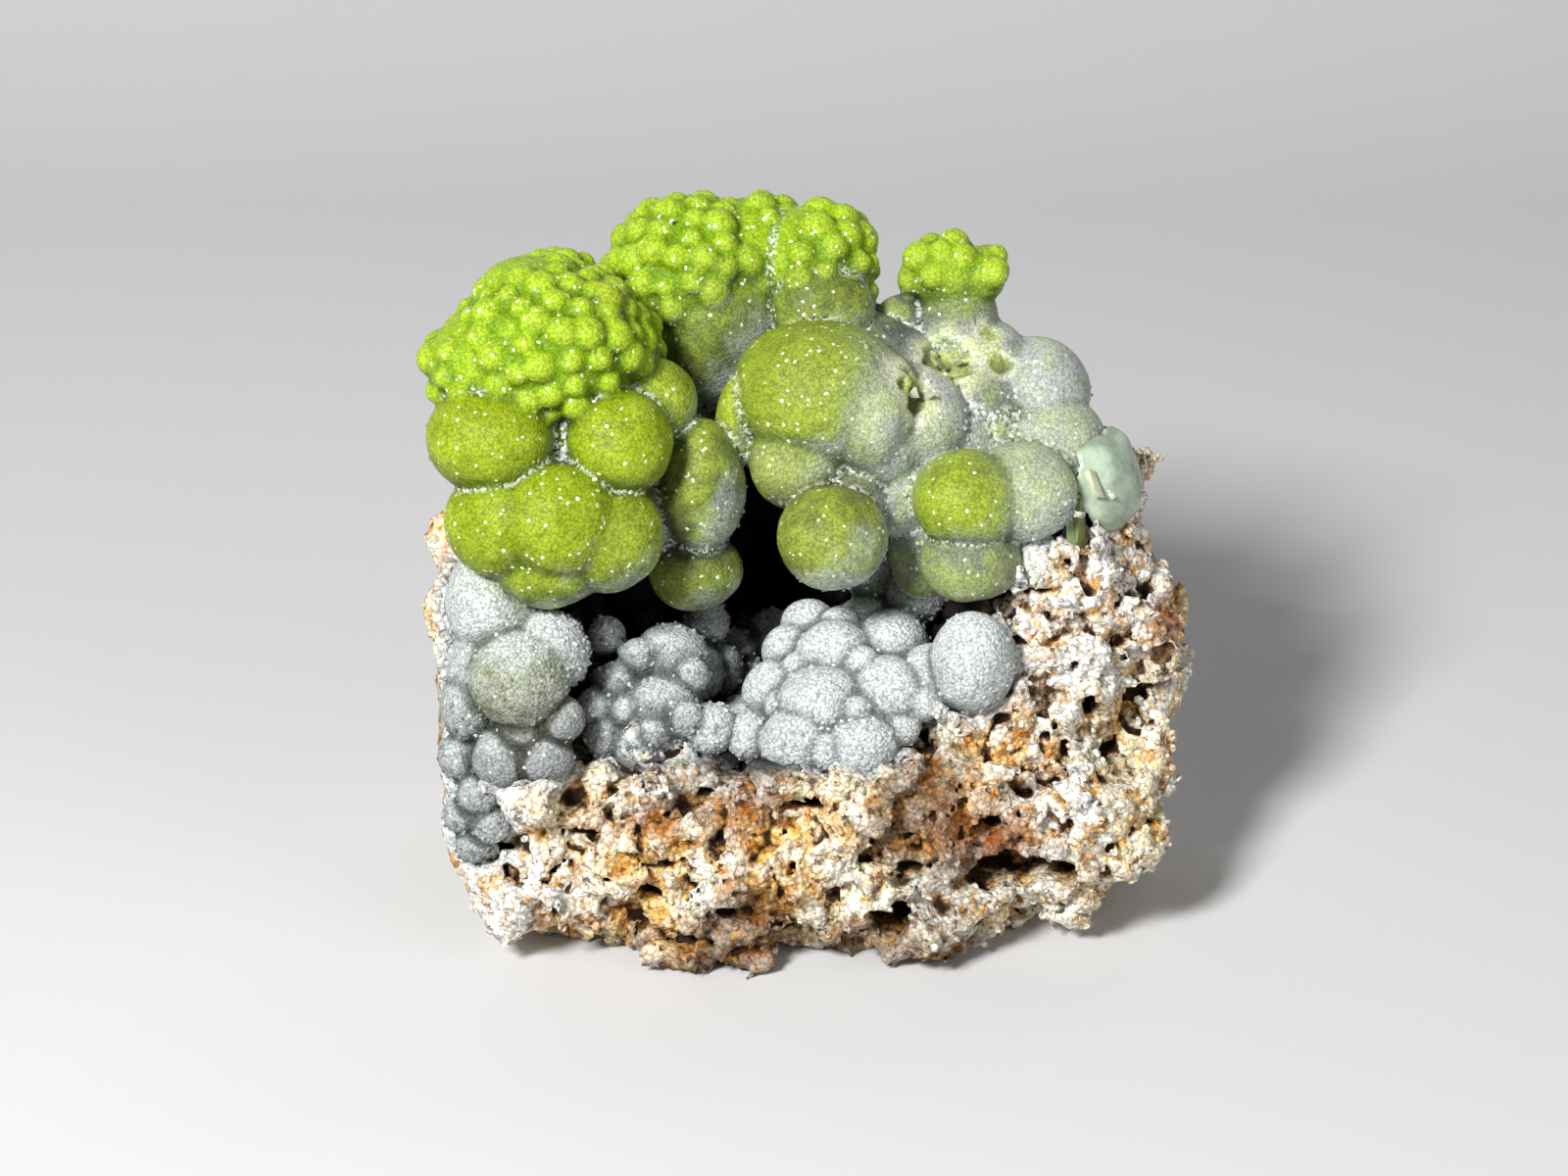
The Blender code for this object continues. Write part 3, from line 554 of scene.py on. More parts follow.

# The crust in the hollow.
# Real pieces: small balls of the same mineral on the floor of the hollow, sugared over with white and grey
# crystals, brightest on the mound at the right; where the lobes overhang them they are darkened with painted
# shade.
CRUST = {
    "hollow_balls": [
        (-15.3, -6.0, 22.7, 1.5, 1.6, 1.5, "slate", 0), (-10.4, -7.0, 21.1, 2.9, 2.9, 2.8, "slate", 0),
        (-7.8, -1.0, 21.4, 1.8, 1.9, 1.9, "slate", 0), (-14.4, -9.0, 20.0, 1.8, 1.9, 1.8, "slate", 0),
        (-16.0, -10.2, 18.6, 1.6, 1.8, 1.6, "slate", 0), (-15.4, -11.4, 16.9, 1.6, 1.7, 1.6, "slate", 0),
        (-12.8, -12.2, 16.4, 1.9, 2.0, 1.8, "slate", 0), (-11.0, -10.0, 18.3, 3.1, 3.0, 2.8, "slate", 0),
        (-7.4, -11.0, 17.3, 2.2, 2.3, 2.0, "frost", 0), (-8.8, -3.6, 18.6, 2.4, 2.6, 2.4, "slate", 0),
        (-6.6, -1.6, 17.8, 1.8, 2.2, 2.0, "slate", 0), (-5.4, 3.0, 17.3, 2.0, 2.2, 1.8, "slate", 0),
        (-2.6, 4.0, 18.4, 2.2, 2.2, 1.9, "slate", 0), (-4.4, -0.5, 15.6, 2.6, 3.0, 2.0, "slate", 0),
        (-4.6, -6.0, 15.2, 2.4, 3.4, 2.0, "slate", 0), (-12.9, -8.2, 21.9, 1.5, 1.5, 1.4, "slate", 0),
        (-9.0, -9.2, 20.8, 1.5, 1.5, 1.4, "slate", 0), (-13.6, -11.0, 18.6, 1.4, 1.4, 1.3, "slate", 0),
        (-9.4, -12.0, 18.6, 1.5, 1.5, 1.4, "slate", 0), (-11.6, -12.6, 17.8, 1.3, 1.3, 1.2, "slate", 0),
    ],
    "frosted_mound": [
        (0.2, -3.0, 22.1, 2.3, 2.2, 2.2, "snow", 0), (4.4, -3.0, 22.1, 2.4, 2.3, 2.3, "snow", 0),
        (-1.4, -5.0, 20.9, 2.1, 2.1, 2.1, "snow", 0), (2.0, -7.0, 21.3, 3.1, 3.0, 2.9, "snow", 0),
        (6.4, -5.4, 21.5, 3.0, 2.9, 2.8, "snow", 0), (-2.6, -8.0, 19.0, 2.4, 2.5, 2.3, "snow", 0),
        (1.0, -11.0, 19.1, 3.5, 3.3, 3.1, "snow", 0), (6.1, -10.0, 19.5, 3.3, 3.2, 3.1, "snow", 0),
        (-4.4, -11.0, 16.6, 2.1, 2.2, 1.9, "frost", 0), (-0.8, -13.2, 17.2, 2.9, 2.7, 2.6, "frost", 0),
        (4.0, -14.0, 17.2, 2.9, 2.7, 2.5, "frost", 0), (9.4, -9.0, 20.2, 2.8, 3.0, 3.0, "snow", 0),
        (12.4, -10.4, 22.5, 3.2, 3.2, 4.0, "snow", 0), (1.5, 0.5, 19.0, 3.6, 3.4, 2.6, "frost", 0),
        (2.4, -4.8, 23.0, 1.6, 1.6, 1.5, "snow", 0), (-0.6, -8.0, 20.9, 1.4, 1.4, 1.3, "snow", 0),
        (3.9, -8.8, 21.6, 1.6, 1.6, 1.5, "snow", 0), (3.4, -12.6, 19.4, 1.6, 1.6, 1.5, "snow", 0),
        (-1.8, -10.8, 19.0, 1.5, 1.5, 1.4, "snow", 0), (8.4, -11.4, 19.6, 1.6, 1.6, 1.5, "snow", 0),
        (6.8, -12.6, 18.0, 1.7, 1.7, 1.5, "snow", 0), (1.4, -14.6, 17.2, 1.6, 1.6, 1.5, "frost", 0),
        (5.8, 0.5, 24.8, 2.8, 3.0, 2.4, "ash", 0), (8.4, -1.6, 24.4, 2.6, 3.0, 2.4, "ash", 0),
    ],
}
crust = {name: grown(name, lobes, grapes, frosted_skin) for name, lobes in CRUST.items()}

all_lobes = [lobe for lobes in [*CLUSTERS.values(), *CRUST.values()] for lobe in lobes]
for name, piece in [*growth.items(), *crust.items()]:
    paint(piece, all_lobes, name in CRUST or name in skins)
for piece in growth.values():
    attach(piece, "root")
    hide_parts("pyromorphite")
for piece in crust.values():
    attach(piece, "root")
    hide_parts("vug_crust")

# The crystals on the frosted skins.
# Real pieces: a crust of tiny six-sided pyromorphite barrels, pale and sugary, on the shaded sides of the
# lobes, in their creases and all over the hollow's balls. They are spread by rule over the skins.
DRUSE_SPACING = 0.38
DRUSE_RADII = (0.08, 0.20)
GREY_DRUSE = (0.09, 0.10, 0.10)
WHITE_DRUSE = (0.58, 0.61, 0.62)
SHADED_DRUSE = (0.11, 0.12, 0.12)


def scattered(name, shape_kind, shape_links, mask, densest, even, inputs):
    """A tree that spreads a small shape over a mesh by a mask, each copy turned and sized at random."""
    tree, given, made = node_tree(name, [*inputs, ("Material", "Material", None)])
    shape = added(tree, shape_kind, shape_links)
    spread = spread_points(tree, given, given.outputs["Geometry"], mask, densest)
    angles = added(tree, "FunctionNodeRandomValue", [(0, (0.0, 0.0, 0.0)), (1, (6.3, 6.3, 6.3)), (8, 6)],
                   data_type="FLOAT_VECTOR")
    turned = added(tree, "FunctionNodeEulerToRotation", [("Euler", angles.outputs[0])])
    tag = added(tree, "FunctionNodeRandomValue", [(2, 0.0), (3, 1.0), (8, 7)]).outputs[1]
    tagged = added(tree, "GeometryNodeStoreNamedAttribute", [
        ("Geometry", spread.outputs["Points"]), ("Name", "grit"), ("Value", tag)])
    low, high, output, kind = (2, 3, 1, "FLOAT") if even else (0, 1, 0, "FLOAT_VECTOR")
    size = added(tree, "FunctionNodeRandomValue", [
        (low, given.outputs["Smallest"]), (high, given.outputs["Largest"]), (8, 8)], data_type=kind)
    copies = set_on(tree, tagged.outputs["Geometry"], shape.outputs["Mesh"], size.outputs[output],
                    turned.outputs[0])
    finished(tree, given, made, copies)
    return tree


def druse_skin():
    """The pale crystals: a little of the skin's colour, uneven from one to the next."""
    material, tree, shader = new_material("pale_druse", 0.45, 0.5)
    pale = mixed(tree, stored(tree, "grit"), GREY_DRUSE, WHITE_DRUSE)
    own = computed(tree, "MULTIPLY_ADD", stored(tree, "frost"), -0.5, 0.85, clamp=True)
    pale = mixed(tree, ramped(tree, stored(tree, "gully"), 0.15, 0.60), pale, SHADED_DRUSE)
    tree.links.new(mixed(tree, own, pale, stored(tree, "body", "Color")), shader.inputs["Base Color"])
    return material


barrel = [("Vertices", 6), ("Radius", 1.0), ("Depth", 2.2)]
druse = scattered("druse_crystals", "GeometryNodeMeshCylinder", barrel, "druse", 7.0e6, True, [
    ("Spacing", "Float", DRUSE_SPACING * MM), ("Smallest", "Float", DRUSE_RADII[0] * MM),
    ("Largest", "Float", DRUSE_RADII[1] * MM), ("Seed", "Int", 11)])
pale_druse = druse_skin()
for number, (name, piece) in enumerate([*growth.items(), *crust.items()]):
    crystals = linked(name + "_source", piece.data.copy())
    with_tree(crystals, druse, Material=pale_druse, Seed=number)
    crystals = settled(crystals, name + "_druse")
    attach(crystals, "root")

# The rock.
# Real piece: a broken lump of quartz and limonite, eaten into by solutions, so it is crumbly, full of pits
# and angular chunks, and cream to rusty orange. Everything else grows on it. It is carved as a solid field:
# hulls and lumps, broken up by leaning cells, eaten by noise, then skinned.
ROCK_STEP = 0.32
ROCK_LOW = (-31.5, -22.5, -1.2)
ROCK_HIGH = (31.5, 22.5, 41.0)

# Each mass is the hull of its corners. A lump, and a hollow cut out, is its middle and its three radii.
ROCK_MASSES = {
    "foot_and_lip": [
        (-19, -13, -1), (-7, -16.5, -1), (8, -14.5, -1), (17, -10.5, -1), (20.5, -4, -1),
        (20.5, 8, -1), (13, 15, -1), (-12, 15.5, -1), (-20, 9, -1), (-21, -5, -1),
        (-26.5, -13.5, 7), (-19, -17, 7), (-5, -18.5, 7), (10, -17, 7), (19.5, -13.5, 7),
        (25.5, -6, 6), (26.5, 5, 7), (19, 15, 7), (-10, 18, 7), (-23, 14, 7),
        (-27.5, -15, 15), (-20, -17.5, 15.5), (-4, -18, 16), (10, -17, 16), (19, -13, 15),
        (27.5, -5, 15), (28.5, 5, 15), (20, 16, 15), (-10, 18.5, 15), (-25, 14, 15),
    ],
    "left_wall": [
        (-27.6, -14, 8), (-27.6, 12, 8), (-20, -12, 8), (-20, 12, 8),
        (-27.8, -12, 22), (-27.6, -9, 31), (-26.5, 9, 32), (-22, -6, 34), (-20, 9, 35),
    ],
    "back_left": [
        (-25, -2, 12), (-9, 0, 12), (-25, 14, 12), (-9, 18, 12),
        (-23, -1, 34), (-12, 0, 34), (-22, 12, 36), (-12, 16, 38), (-17, 16.5, 30),
    ],
    "back_wall": [
        (-20, 10.5, 4), (20, 10.5, 4), (-18, 18, 6), (16, 17.5, 6), (21, 10, 26),
        (-18, 11, 36), (-14, 17, 37), (-18, 18.5, 24), (2, 18.8, 20), (2, 17.5, 38),
        (9, 11, 38), (14, 11, 35), (13, 16.5, 33), (18, 15.5, 26),
    ],
    "right": [
        (9, -15.5, 13), (19, -12.5, 13), (28, -5, 13), (28.6, 5, 13), (20, 15, 13),
        (8, 12, 13), (15, -11.5, 20.5), (19.5, -11, 20.5), (29.2, -2, 20), (29.4, 4, 20),
        (15.5, -7.5, 28), (21, -7, 28), (25.8, -1, 28.5), (26.2, 6, 27), (16, -2.5, 33),
        (22.6, -2, 33), (20.4, 2, 37), (15, 5, 36.5), (18, 12, 31), (10, 12, 33),
    ],
}
ROCK_LUMPS = [
    (-7.0, -15.0, 4.0, 7.5, 4.4, 5.4), (8.0, -14.6, 6.0, 8.0, 4.2, 5.0), (19.0, -11.0, 9.0, 7.0, 6.0, 6.0),
    (26.4, -1.0, 19.6, 3.4, 5.0, 3.6), (24.8, -3.0, 11.0, 3.4, 5.5, 4.6), (-21.0, -13.4, 6.0, 5.5, 4.5, 4.5),
    (21.0, 2.0, 31.5, 4.4, 6.0, 4.2), (-27.4, -7.0, 24.8, 1.6, 2.2, 3.0), (-26.8, -5.0, 30.6, 1.8, 2.6, 2.6),
    (3.0, -6.0, 15.5, 7.0, 7.5, 4.4), (-12.0, -8.0, 14.5, 5.0, 5.5, 4.0), (-6.0, 16.4, 12.0, 9.0, 4.0, 8.0),
    (11.0, 14.0, 20.0, 8.0, 5.0, 9.0), (-15.0, 14.5, 28.0, 6.0, 5.0, 8.0), (-25.4, -12.6, 9.4, 2.8, 3.6, 4.0),
]
ROCK_HOLLOWS = [
    (-4.0, 0.0, 26.5, 9.5, 9.0, 9.5), (-3.6, -8.0, 25.0, 3.4, 12.0, 7.5), (-10.0, -9.0, 26.0, 5.5, 9.0, 5.0),
    (3.0, -8.0, 27.6, 6.0, 9.0, 4.2), (-4.2, -4.0, 18.6, 2.2, 8.0, 4.0), (-17.6, -17.4, 14.4, 1.9, 2.6, 1.9),
    (11.8, -19.6, 6.4, 4.4, 3.8, 1.9), (15.8, -19.2, 9.2, 2.2, 3.0, 1.7), (-0.4, -20.4, 14.0, 2.3, 2.6, 1.0),
    (3.6, -19.6, 2.6, 3.0, 3.0, 2.6), (-13.6, -20.0, 9.6, 2.2, 2.8, 1.5), (-10.0, -20.6, 5.4, 2.6, 2.4, 1.3),
    (17.8, -13.6, 25.4, 2.2, 3.6, 1.2), (22.0, -10.4, 24.6, 1.9, 3.0, 1.6), (27.4, -8.4, 9.2, 1.8, 2.6, 2.2),
    (-10.0, 20.4, 24.0, 3.0, 3.0, 4.0), (7.0, 20.6, 12.0, 4.2, 2.6, 2.8), (16.0, 20.6, 27.0, 2.6, 3.0, 2.2),
    (-23.0, 15.0, 16.0, 3.0, 3.4, 2.6), (30.0, 8.0, 17.0, 2.4, 3.2, 2.6),
    (16.4, -15.2, 7.4, 4.2, 5.4, 2.3), (13.6, -16.6, 11.4, 1.5, 3.4, 1.3), (6.3, -16.8, 4.9, 1.9, 4.4, 1.9),
    (-15.0, -17.6, 8.0, 1.3, 2.6, 0.9), (-12.0, -17.8, 6.4, 1.6, 2.6, 0.8), (-8.6, -18.2, 7.2, 1.1, 2.4, 0.7),
    (24.4, -4.0, 28.4, 1.1, 2.4, 0.8), (21.4, -9.6, 18.4, 1.2, 3.0, 1.6), (26.6, -5.0, 21.0, 1.2, 2.6, 0.9),
    (17.6, -9.4, 27.2, 2.6, 3.0, 0.9), (-0.6, -17.4, 13.6, 2.2, 3.4, 0.9), (-9.4, -18.4, 3.0, 2.6, 2.4, 0.9),
    (-3.8, -19.0, 2.2, 2.0, 2.4, 0.9), (-6.4, -18.6, 6.0, 1.4, 2.4, 0.8), (7.2, -17.2, 8.2, 1.3, 2.4, 0.9),
]
OPEN_HOLLOW = ROCK_HOLLOWS[:5]
CELL_WRAP = 32

# Each size of chunk is its width, how far chunks stand out and how much their facets lean.
BROKEN_SIZES = ((4.6, 1.3, 0.36), (2.2, 0.9, 0.50), (1.2, 0.5, 0.55))
CRACK_DEPTH = 0.5
PIT_THRESHOLD = 0.56
PIT_STEEPNESS = 4.5
RIGHT_TRIM = 0.9
FOOT_TRIM = 0.5
HOLLOW_RAGGEDNESS = 0.9
ROCK_FACES = 190000

# A tint is a linear colour and how much white sugar lies on it. A patch is its middle, reach and tint.
ROCK_TINTS = {
    "quartz": (0.92, 0.91, 0.86, 1.0),
    "cream": (0.92, 0.80, 0.50, 0.8),
    "gold": (0.84, 0.52, 0.12, 0.5),
    "rust": (0.36, 0.125, 0.025, 0.12),
    "brown": (0.17, 0.080, 0.028, 0.12),
    "violet": (0.46, 0.34, 0.28, 0.5),
    "grey": (0.46, 0.47, 0.42, 0.6),
}
ROCK_PATCHES = [
    (-21.7, -17.4, 7.6, 5.6, "quartz"), (-18.1, -15.9, 3.4, 3.0, "gold"), (-13.6, -17.5, 8.5, 3.2, "gold"),
    (-9.1, -18.0, 10.0, 3.0, "cream"), (-10.6, -17.3, 12.8, 2.2, "rust"), (-15.0, -16.7, 12.4, 2.2, "rust"),
    (-5.0, -17.7, 13.3, 2.4, "rust"), (-1.8, -16.7, 9.7, 3.6, "gold"), (2.8, -18.2, 9.0, 3.4, "cream"),
    (-4.7, -18.9, 5.4, 3.4, "brown"), (-7.7, -18.7, 2.6, 2.6, "brown"), (-12.0, -17.0, 4.4, 3.0, "gold"),
    (5.5, -17.1, 11.0, 2.6, "brown"), (8.4, -16.6, 13.8, 3.4, "brown"), (12.2, -16.6, 11.6, 3.2, "rust"),
    (13.4, -16.6, 13.4, 1.8, "gold"), (16.6, -15.0, 7.9, 3.0, "brown"), (10.4, -17.0, 6.4, 3.0, "grey"),
    (16.6, -14.4, 4.0, 3.0, "cream"), (7.8, -16.9, 4.0, 2.6, "brown"), (20.2, -15.0, 14.6, 4.4, "quartz"),
    (24.1, -13.9, 12.4, 3.6, "cream"), (27.7, -3.8, 15.8, 3.6, "cream"), (29.3, 4.0, 21.4, 3.0, "gold"),
    (24.3, -3.4, 28.0, 4.2, "quartz"), (20.4, -10.5, 20.6, 5.4, "quartz"), (16.0, -11.7, 16.3, 3.4, "gold"),
    # The first three patches on the next line and the first on the line after darken the foot: partly the
    # rock's brown, partly painted shade under the lip.
    (-12.0, -16.0, 1.2, 2.6, "brown"), (-5.0, -17.5, 0.8, 3.0, "brown"), (3.0, -17.0, 1.0, 3.0, "brown"),
    (11.0, -15.0, 1.2, 3.2, "brown"), (11.6, -16.6, 9.4, 2.4, "brown"), (14.6, -15.8, 10.0, 2.2, "rust"),
    (22.5, -10.0, 16.5, 4.0, "cream"), (-4.7, -15.7, 15.8, 3.0, "violet"), (-9.5, -15.9, 15.9, 3.0, "grey"),
    (-17.9, -16.4, 13.0, 3.2, "cream"), (26.8, -3.1, 21.3, 2.6, "rust"), (20.0, -8.0, 26.6, 3.4, "quartz"),
    (-27.6, -6.5, 31.0, 3.4, "gold"), (-28.0, -7.4, 25.4, 2.6, "cream"), (-27.6, -2.0, 18.0, 6.0, "brown"),
    (0.0, 18.0, 14.0, 9.0, "cream"), (-16.0, 17.0, 26.0, 7.0, "rust"), (14.0, 16.0, 24.0, 7.0, "gold"),
    (18.0, 14.0, 8.0, 7.0, "violet"), (-18.0, 16.0, 8.0, 6.0, "quartz"), (2.0, 18.0, 32.0, 6.0, "quartz"),
]

grid_axes = [np.arange(low, high, ROCK_STEP, dtype=np.float32) for low, high in zip(ROCK_LOW, ROCK_HIGH)]
grid_x, grid_y, grid_z = np.meshgrid(*grid_axes, indexing="ij", sparse=True)


def outside_hull(corners):
    """How far every grid point lies outside the hull of some corners, negative inside."""
    hull = bmesh.new()
    bmesh.ops.convex_hull(hull, input=[hull.verts.new(corner) for corner in corners])
    middle = Vector(np.mean(corners, axis=0))
    away = np.float32(-1000)
    for face in hull.faces:
        face.normal_update()
        way = face.normal
        if way.dot(face.verts[0].co - middle) < 0:
            way = -way
        shift = way.dot(face.verts[0].co)
        away = np.maximum(away, way.x * grid_x + way.y * grid_y + way.z * grid_z - shift)
    hull.free()
    return away.astype(np.float32)


def grid_noise(size, seed):
    """Smooth random values from -1 to 1 over the grid, changing over a length in mm."""
    field = np.random.default_rng(seed).uniform(
        -1, 1, [int(len(axis) * ROCK_STEP / size) + 3 for axis in grid_axes]).astype(np.float32)
    for k, axis in enumerate(grid_axes):
        at = (axis - axis[0]) / size
        low = at.astype(int)
        part = smooth_step(0, 1, at - low).reshape([-1 if j == k else 1 for j in range(3)])
        field = np.take(field, low, k) * (1 - part) + np.take(field, low + 1, k) * part
    return field


def cells(points, size, seed):
    """For each point: distances to the nearest cell seed and the next, that cell's tag and its facet.

    The tag is a random number. The facet is the height of a plane that leans a random way through the seed.
    """
    table = np.random.default_rng(seed).random((CELL_WRAP, CELL_WRAP, CELL_WRAP, 7)).astype(np.float32)
    base = np.floor(points / size).astype(np.int32)
    nearest = np.full(len(points), 1e3, np.float32)
    second = nearest.copy()
    winner = np.zeros((len(points), 3), np.int32)
    for step in itertools.product((-1, 0, 1), repeat=3):
        cell = base + np.array(step, np.int32)
        x, y, z = (cell % CELL_WRAP).T
        gap = np.linalg.norm((cell + table[x, y, z, :3]) * size - points, axis=1).astype(np.float32)
        closer = gap < nearest
        second = np.where(closer, nearest, np.minimum(second, gap))
        winner[closer] = cell[closer]
        nearest = np.where(closer, gap, nearest)
    x, y, z = (winner % CELL_WRAP).T
    draw = table[x, y, z]
    way = draw[:, 4:] - 0.5
    way /= np.linalg.norm(way, axis=1, keepdims=True) + 1e-4
    facet = ((points - (winner + draw[:, :3]) * size) * way).sum(axis=1)
    return nearest, second, draw[:, 3], facet


def skin_of(field, low, step):
    """Vertices in mm and quads of the surface where a field on a grid crosses zero."""
    inside = field < 0
    count = [n - 1 for n in field.shape]
    full = np.zeros(count, np.int8)
    for i, j, k in itertools.product((0, 1), repeat=3):
        full += inside[i:i + count[0], j:j + count[1], k:k + count[2]]
    cx, cy, cz = np.nonzero((full > 0) & (full < 8))
    index = np.full(count, -1, np.int64)
    index[cx, cy, cz] = np.arange(len(cx))
    total = np.zeros((len(cx), 3))
    crossings = np.zeros(len(cx))
    for axis in range(3):
        others = [a for a in range(3) if a != axis]
        for i, j in itertools.product((0, 1), repeat=2):
            start = [0, 0, 0]
            start[others[0]], start[others[1]] = i, j
            end = list(start)
            end[axis] = 1
            a = field[cx + start[0], cy + start[1], cz + start[2]]
            b = field[cx + end[0], cy + end[1], cz + end[2]]
            cross = (a < 0) != (b < 0)
            spot = np.tile(np.array(start, float), (len(cx), 1))
            spot[:, axis] += np.where(cross, a / np.where(cross, a - b, 1), 0)
            total += spot * cross[:, None]
            crossings += cross
    verts = (np.stack((cx, cy, cz), 1) + total / crossings[:, None]) * step + low
    quads = []
    for axis in range(3):
        b, c = (axis + 1) % 3, (axis + 2) % 3
        lower = np.moveaxis(inside, (axis, b, c), (0, 1, 2))
        cube = np.moveaxis(index, (axis, b, c), (0, 1, 2))
        x, y, z = np.nonzero(lower[:-1, 1:-1, 1:-1] != lower[1:, 1:-1, 1:-1])
        y, z = y + 1, z + 1
        ring = np.stack((cube[x, y - 1, z - 1], cube[x, y, z - 1], cube[x, y, z], cube[x, y - 1, z]), 1)
        turned = ~lower[x, y, z]
        ring[turned] = ring[turned][:, ::-1]
        quads.append(ring)
    return verts, np.concatenate(quads)


def main_body(verts, quads):
    """Drops the loose crumbs and sealed pockets of a skin, and keeps its largest body."""
    group = np.arange(len(verts))
    while True:
        lowest = group[quads].min(axis=1)
        after = group.copy()
        for corner in range(4):
            np.minimum.at(after, quads[:, corner], lowest)
        after = after[after]
        if np.array_equal(after, group):
            break
        group = after
    keep = group == np.bincount(group).argmax()
    renumber = np.cumsum(keep) - 1
    return verts[keep], renumber[quads[keep[quads[:, 0]]]]


def box_mean(field, half):
    """The mean of a grid over a cube that reaches a number of cells each way."""
    for axis in range(3):
        count = field.shape[axis]
        room = [(2 * half + 1, 0) if other == axis else (0, 0) for other in range(3)]
        running = np.cumsum(np.pad(field, room), axis=axis)
        cell = np.arange(count)
        ahead = np.minimum(cell + 3 * half + 1, count + 2 * half)
        field = (np.take(running, ahead, axis) - np.take(running, cell + half, axis)) / (2 * half + 1)
    return field


def quad_mesh(name, verts_mm, quads):
    """A mesh from vertices in mm and quads."""
    data = bpy.data.meshes.new(name)
    data.vertices.add(len(verts_mm))
    data.vertices.foreach_set("co", (verts_mm * MM).astype(np.float32).ravel())
    data.loops.add(quads.size)
    data.loops.foreach_set("vertex_index", quads.ravel().astype(np.int32))
    data.polygons.add(len(quads))
    data.polygons.foreach_set("loop_start", np.arange(0, quads.size, 4, dtype=np.int32))
    data.update(calc_edges=True)
    return data


smooth_rock = np.float32(1000)
for corners in ROCK_MASSES.values():
    smooth_rock = np.minimum(smooth_rock, outside_hull(corners))
for lump in ROCK_LUMPS:
    smooth_rock = np.minimum(smooth_rock, outside_lobe(lump, grid_x, grid_y, grid_z))
rock = smooth_rock + 0.2 + 0.8 * grid_noise(5.2, 1) + 0.4 * grid_noise(2.3, 2)
rock = rock + RIGHT_TRIM * smooth_step(27.0, 30.0, grid_x) + FOOT_TRIM * smooth_step(1.8, 0.0, grid_z)

near = np.abs(rock) < 3.2
spots = np.stack([(g + 0 * rock)[near] for g in (grid_x, grid_y, grid_z)], 1)
wild = 0.3 + 0.7 * smooth_step(-26.5, -23.0, spots[:, 0])
broken = rock[near]
for seed, (size, stand, lean) in enumerate(BROKEN_SIZES):
    seed_near, seed_next, tag, facet = cells(spots, size, seed)
    broken += wild * ((tag - 0.5) * stand + facet * lean)
    if seed == 0:
        broken += wild * CRACK_DEPTH * (1 - smooth_step(0.0, 0.5, seed_next - seed_near))
pitted = 0.75 * grid_noise(3.1, 16)[near] + 0.5 * grid_noise(1.4, 17)[near]
pitted -= smooth_step(1.4, 3.0, -rock[near]) * 1.2
rock[near] = np.maximum(broken, (pitted - PIT_THRESHOLD) * PIT_STEEPNESS * wild)
for hollow in ROCK_HOLLOWS:
    ragged = HOLLOW_RAGGEDNESS * grid_noise(1.6, 8)
    rock = np.maximum(rock, -outside_lobe(hollow, grid_x, grid_y, grid_z) - 0.2 + ragged)
rock = np.maximum(rock, -grid_z).astype(np.float32)
solid = (rock < 0).astype(np.float32)
buried = 0.5 * box_mean(solid, 2) + 0.5 * box_mean(solid, 6)

rock_verts, rock_quads = main_body(*skin_of(rock, ROCK_LOW, ROCK_STEP))
rock_piece = linked("rock_source", quad_mesh("rock_source", rock_verts, rock_quads))
slim = rock_piece.modifiers.new("slim", "DECIMATE")
slim.ratio = min(1.0, ROCK_FACES / (2 * len(rock_quads)))
rock_piece = settled(rock_piece, "vuggy_rock")

rock_places, _ = points_of(rock_piece)
spot_cell = np.rint((rock_places - ROCK_LOW) / ROCK_STEP).astype(int)
x, y, z = np.clip(spot_cell, 0, np.array(rock.shape) - 1).T
rock_buried = buried[x, y, z]
add_values(rock_piece, "buried", rock_buried)
add_values(rock_piece, "grit", cells(rock_places, BROKEN_SIZES[2][0], 2)[2])
add_values(rock_piece, "chunk", cells(rock_places, BROKEN_SIZES[1][0], 1)[2])
to_hollow = np.full(len(rock_places), 1e3, np.float32)
for hollow in OPEN_HOLLOW:
    to_hollow = np.minimum(to_hollow, outside_lobe(hollow, *rock_places.T))
# Painted shadow: rock inside the open hollow, more so towards its back, is painted black as the deep shade
# there; crumbs are kept off it.
hollow_shadow = 1 - smooth_step(2.0, 4.2, to_hollow - 2.4 * smooth_step(-11.0, -5.0, rock_places[:, 1]))
add_values(rock_piece, "hollow_shadow", hollow_shadow)
to_growth = np.full(len(rock_places), 1e3, np.float32)
for lobe in all_lobes:
    to_growth = np.minimum(to_growth, outside_lobe(lobe, *rock_places.T))
rock_frost = 0.8 * (1 - smooth_step(0.0, 1.8, to_growth + 0.6 * smooth_noise(rock_places, 1.7, (5, 2, 9))))
add_values(rock_piece, "frost", rock_frost)
tint = np.tile(np.array(ROCK_TINTS["cream"]) * 0.06, (len(rock_places), 1))
share = np.full((len(rock_places), 1), 0.06)
for x, y, z, reach, name in ROCK_PATCHES:
    weight = np.exp(-1.6 * (np.linalg.norm(rock_places - (x, y, z), axis=1, keepdims=True) / reach) ** 2)
    tint += weight * np.array(ROCK_TINTS[name])
    share += weight
tint /= share
add_colours(rock_piece, "body", tint[:, :3])
add_values(rock_piece, "sugar", tint[:, 3])
crumbly = (1 - rock_frost) * (1 - hollow_shadow) * (1 - smooth_step(0.56, 0.66, rock_buried))
off_the_flat_side = 0.15 + 0.85 * smooth_step(-26.5, -23.0, rock_places[:, 0])
crumbly *= smooth_step(1.0, 2.0, rock_places[:, 2]) * off_the_flat_side
add_values(rock_piece, "crumbly", crumbly)

SUGAR_WHITE = (0.92, 0.90, 0.84)
RICH_STAIN = (0.78, 0.46, 0.16)
PIT_BROWN_AND_SHADE = (0.030, 0.012, 0.004)
PIT_GOLD = (0.50, 0.23, 0.035)
HOLLOW_SHADOW_BLACK = (0.006, 0.005, 0.004)
PALE_FROST = (0.62, 0.67, 0.70)


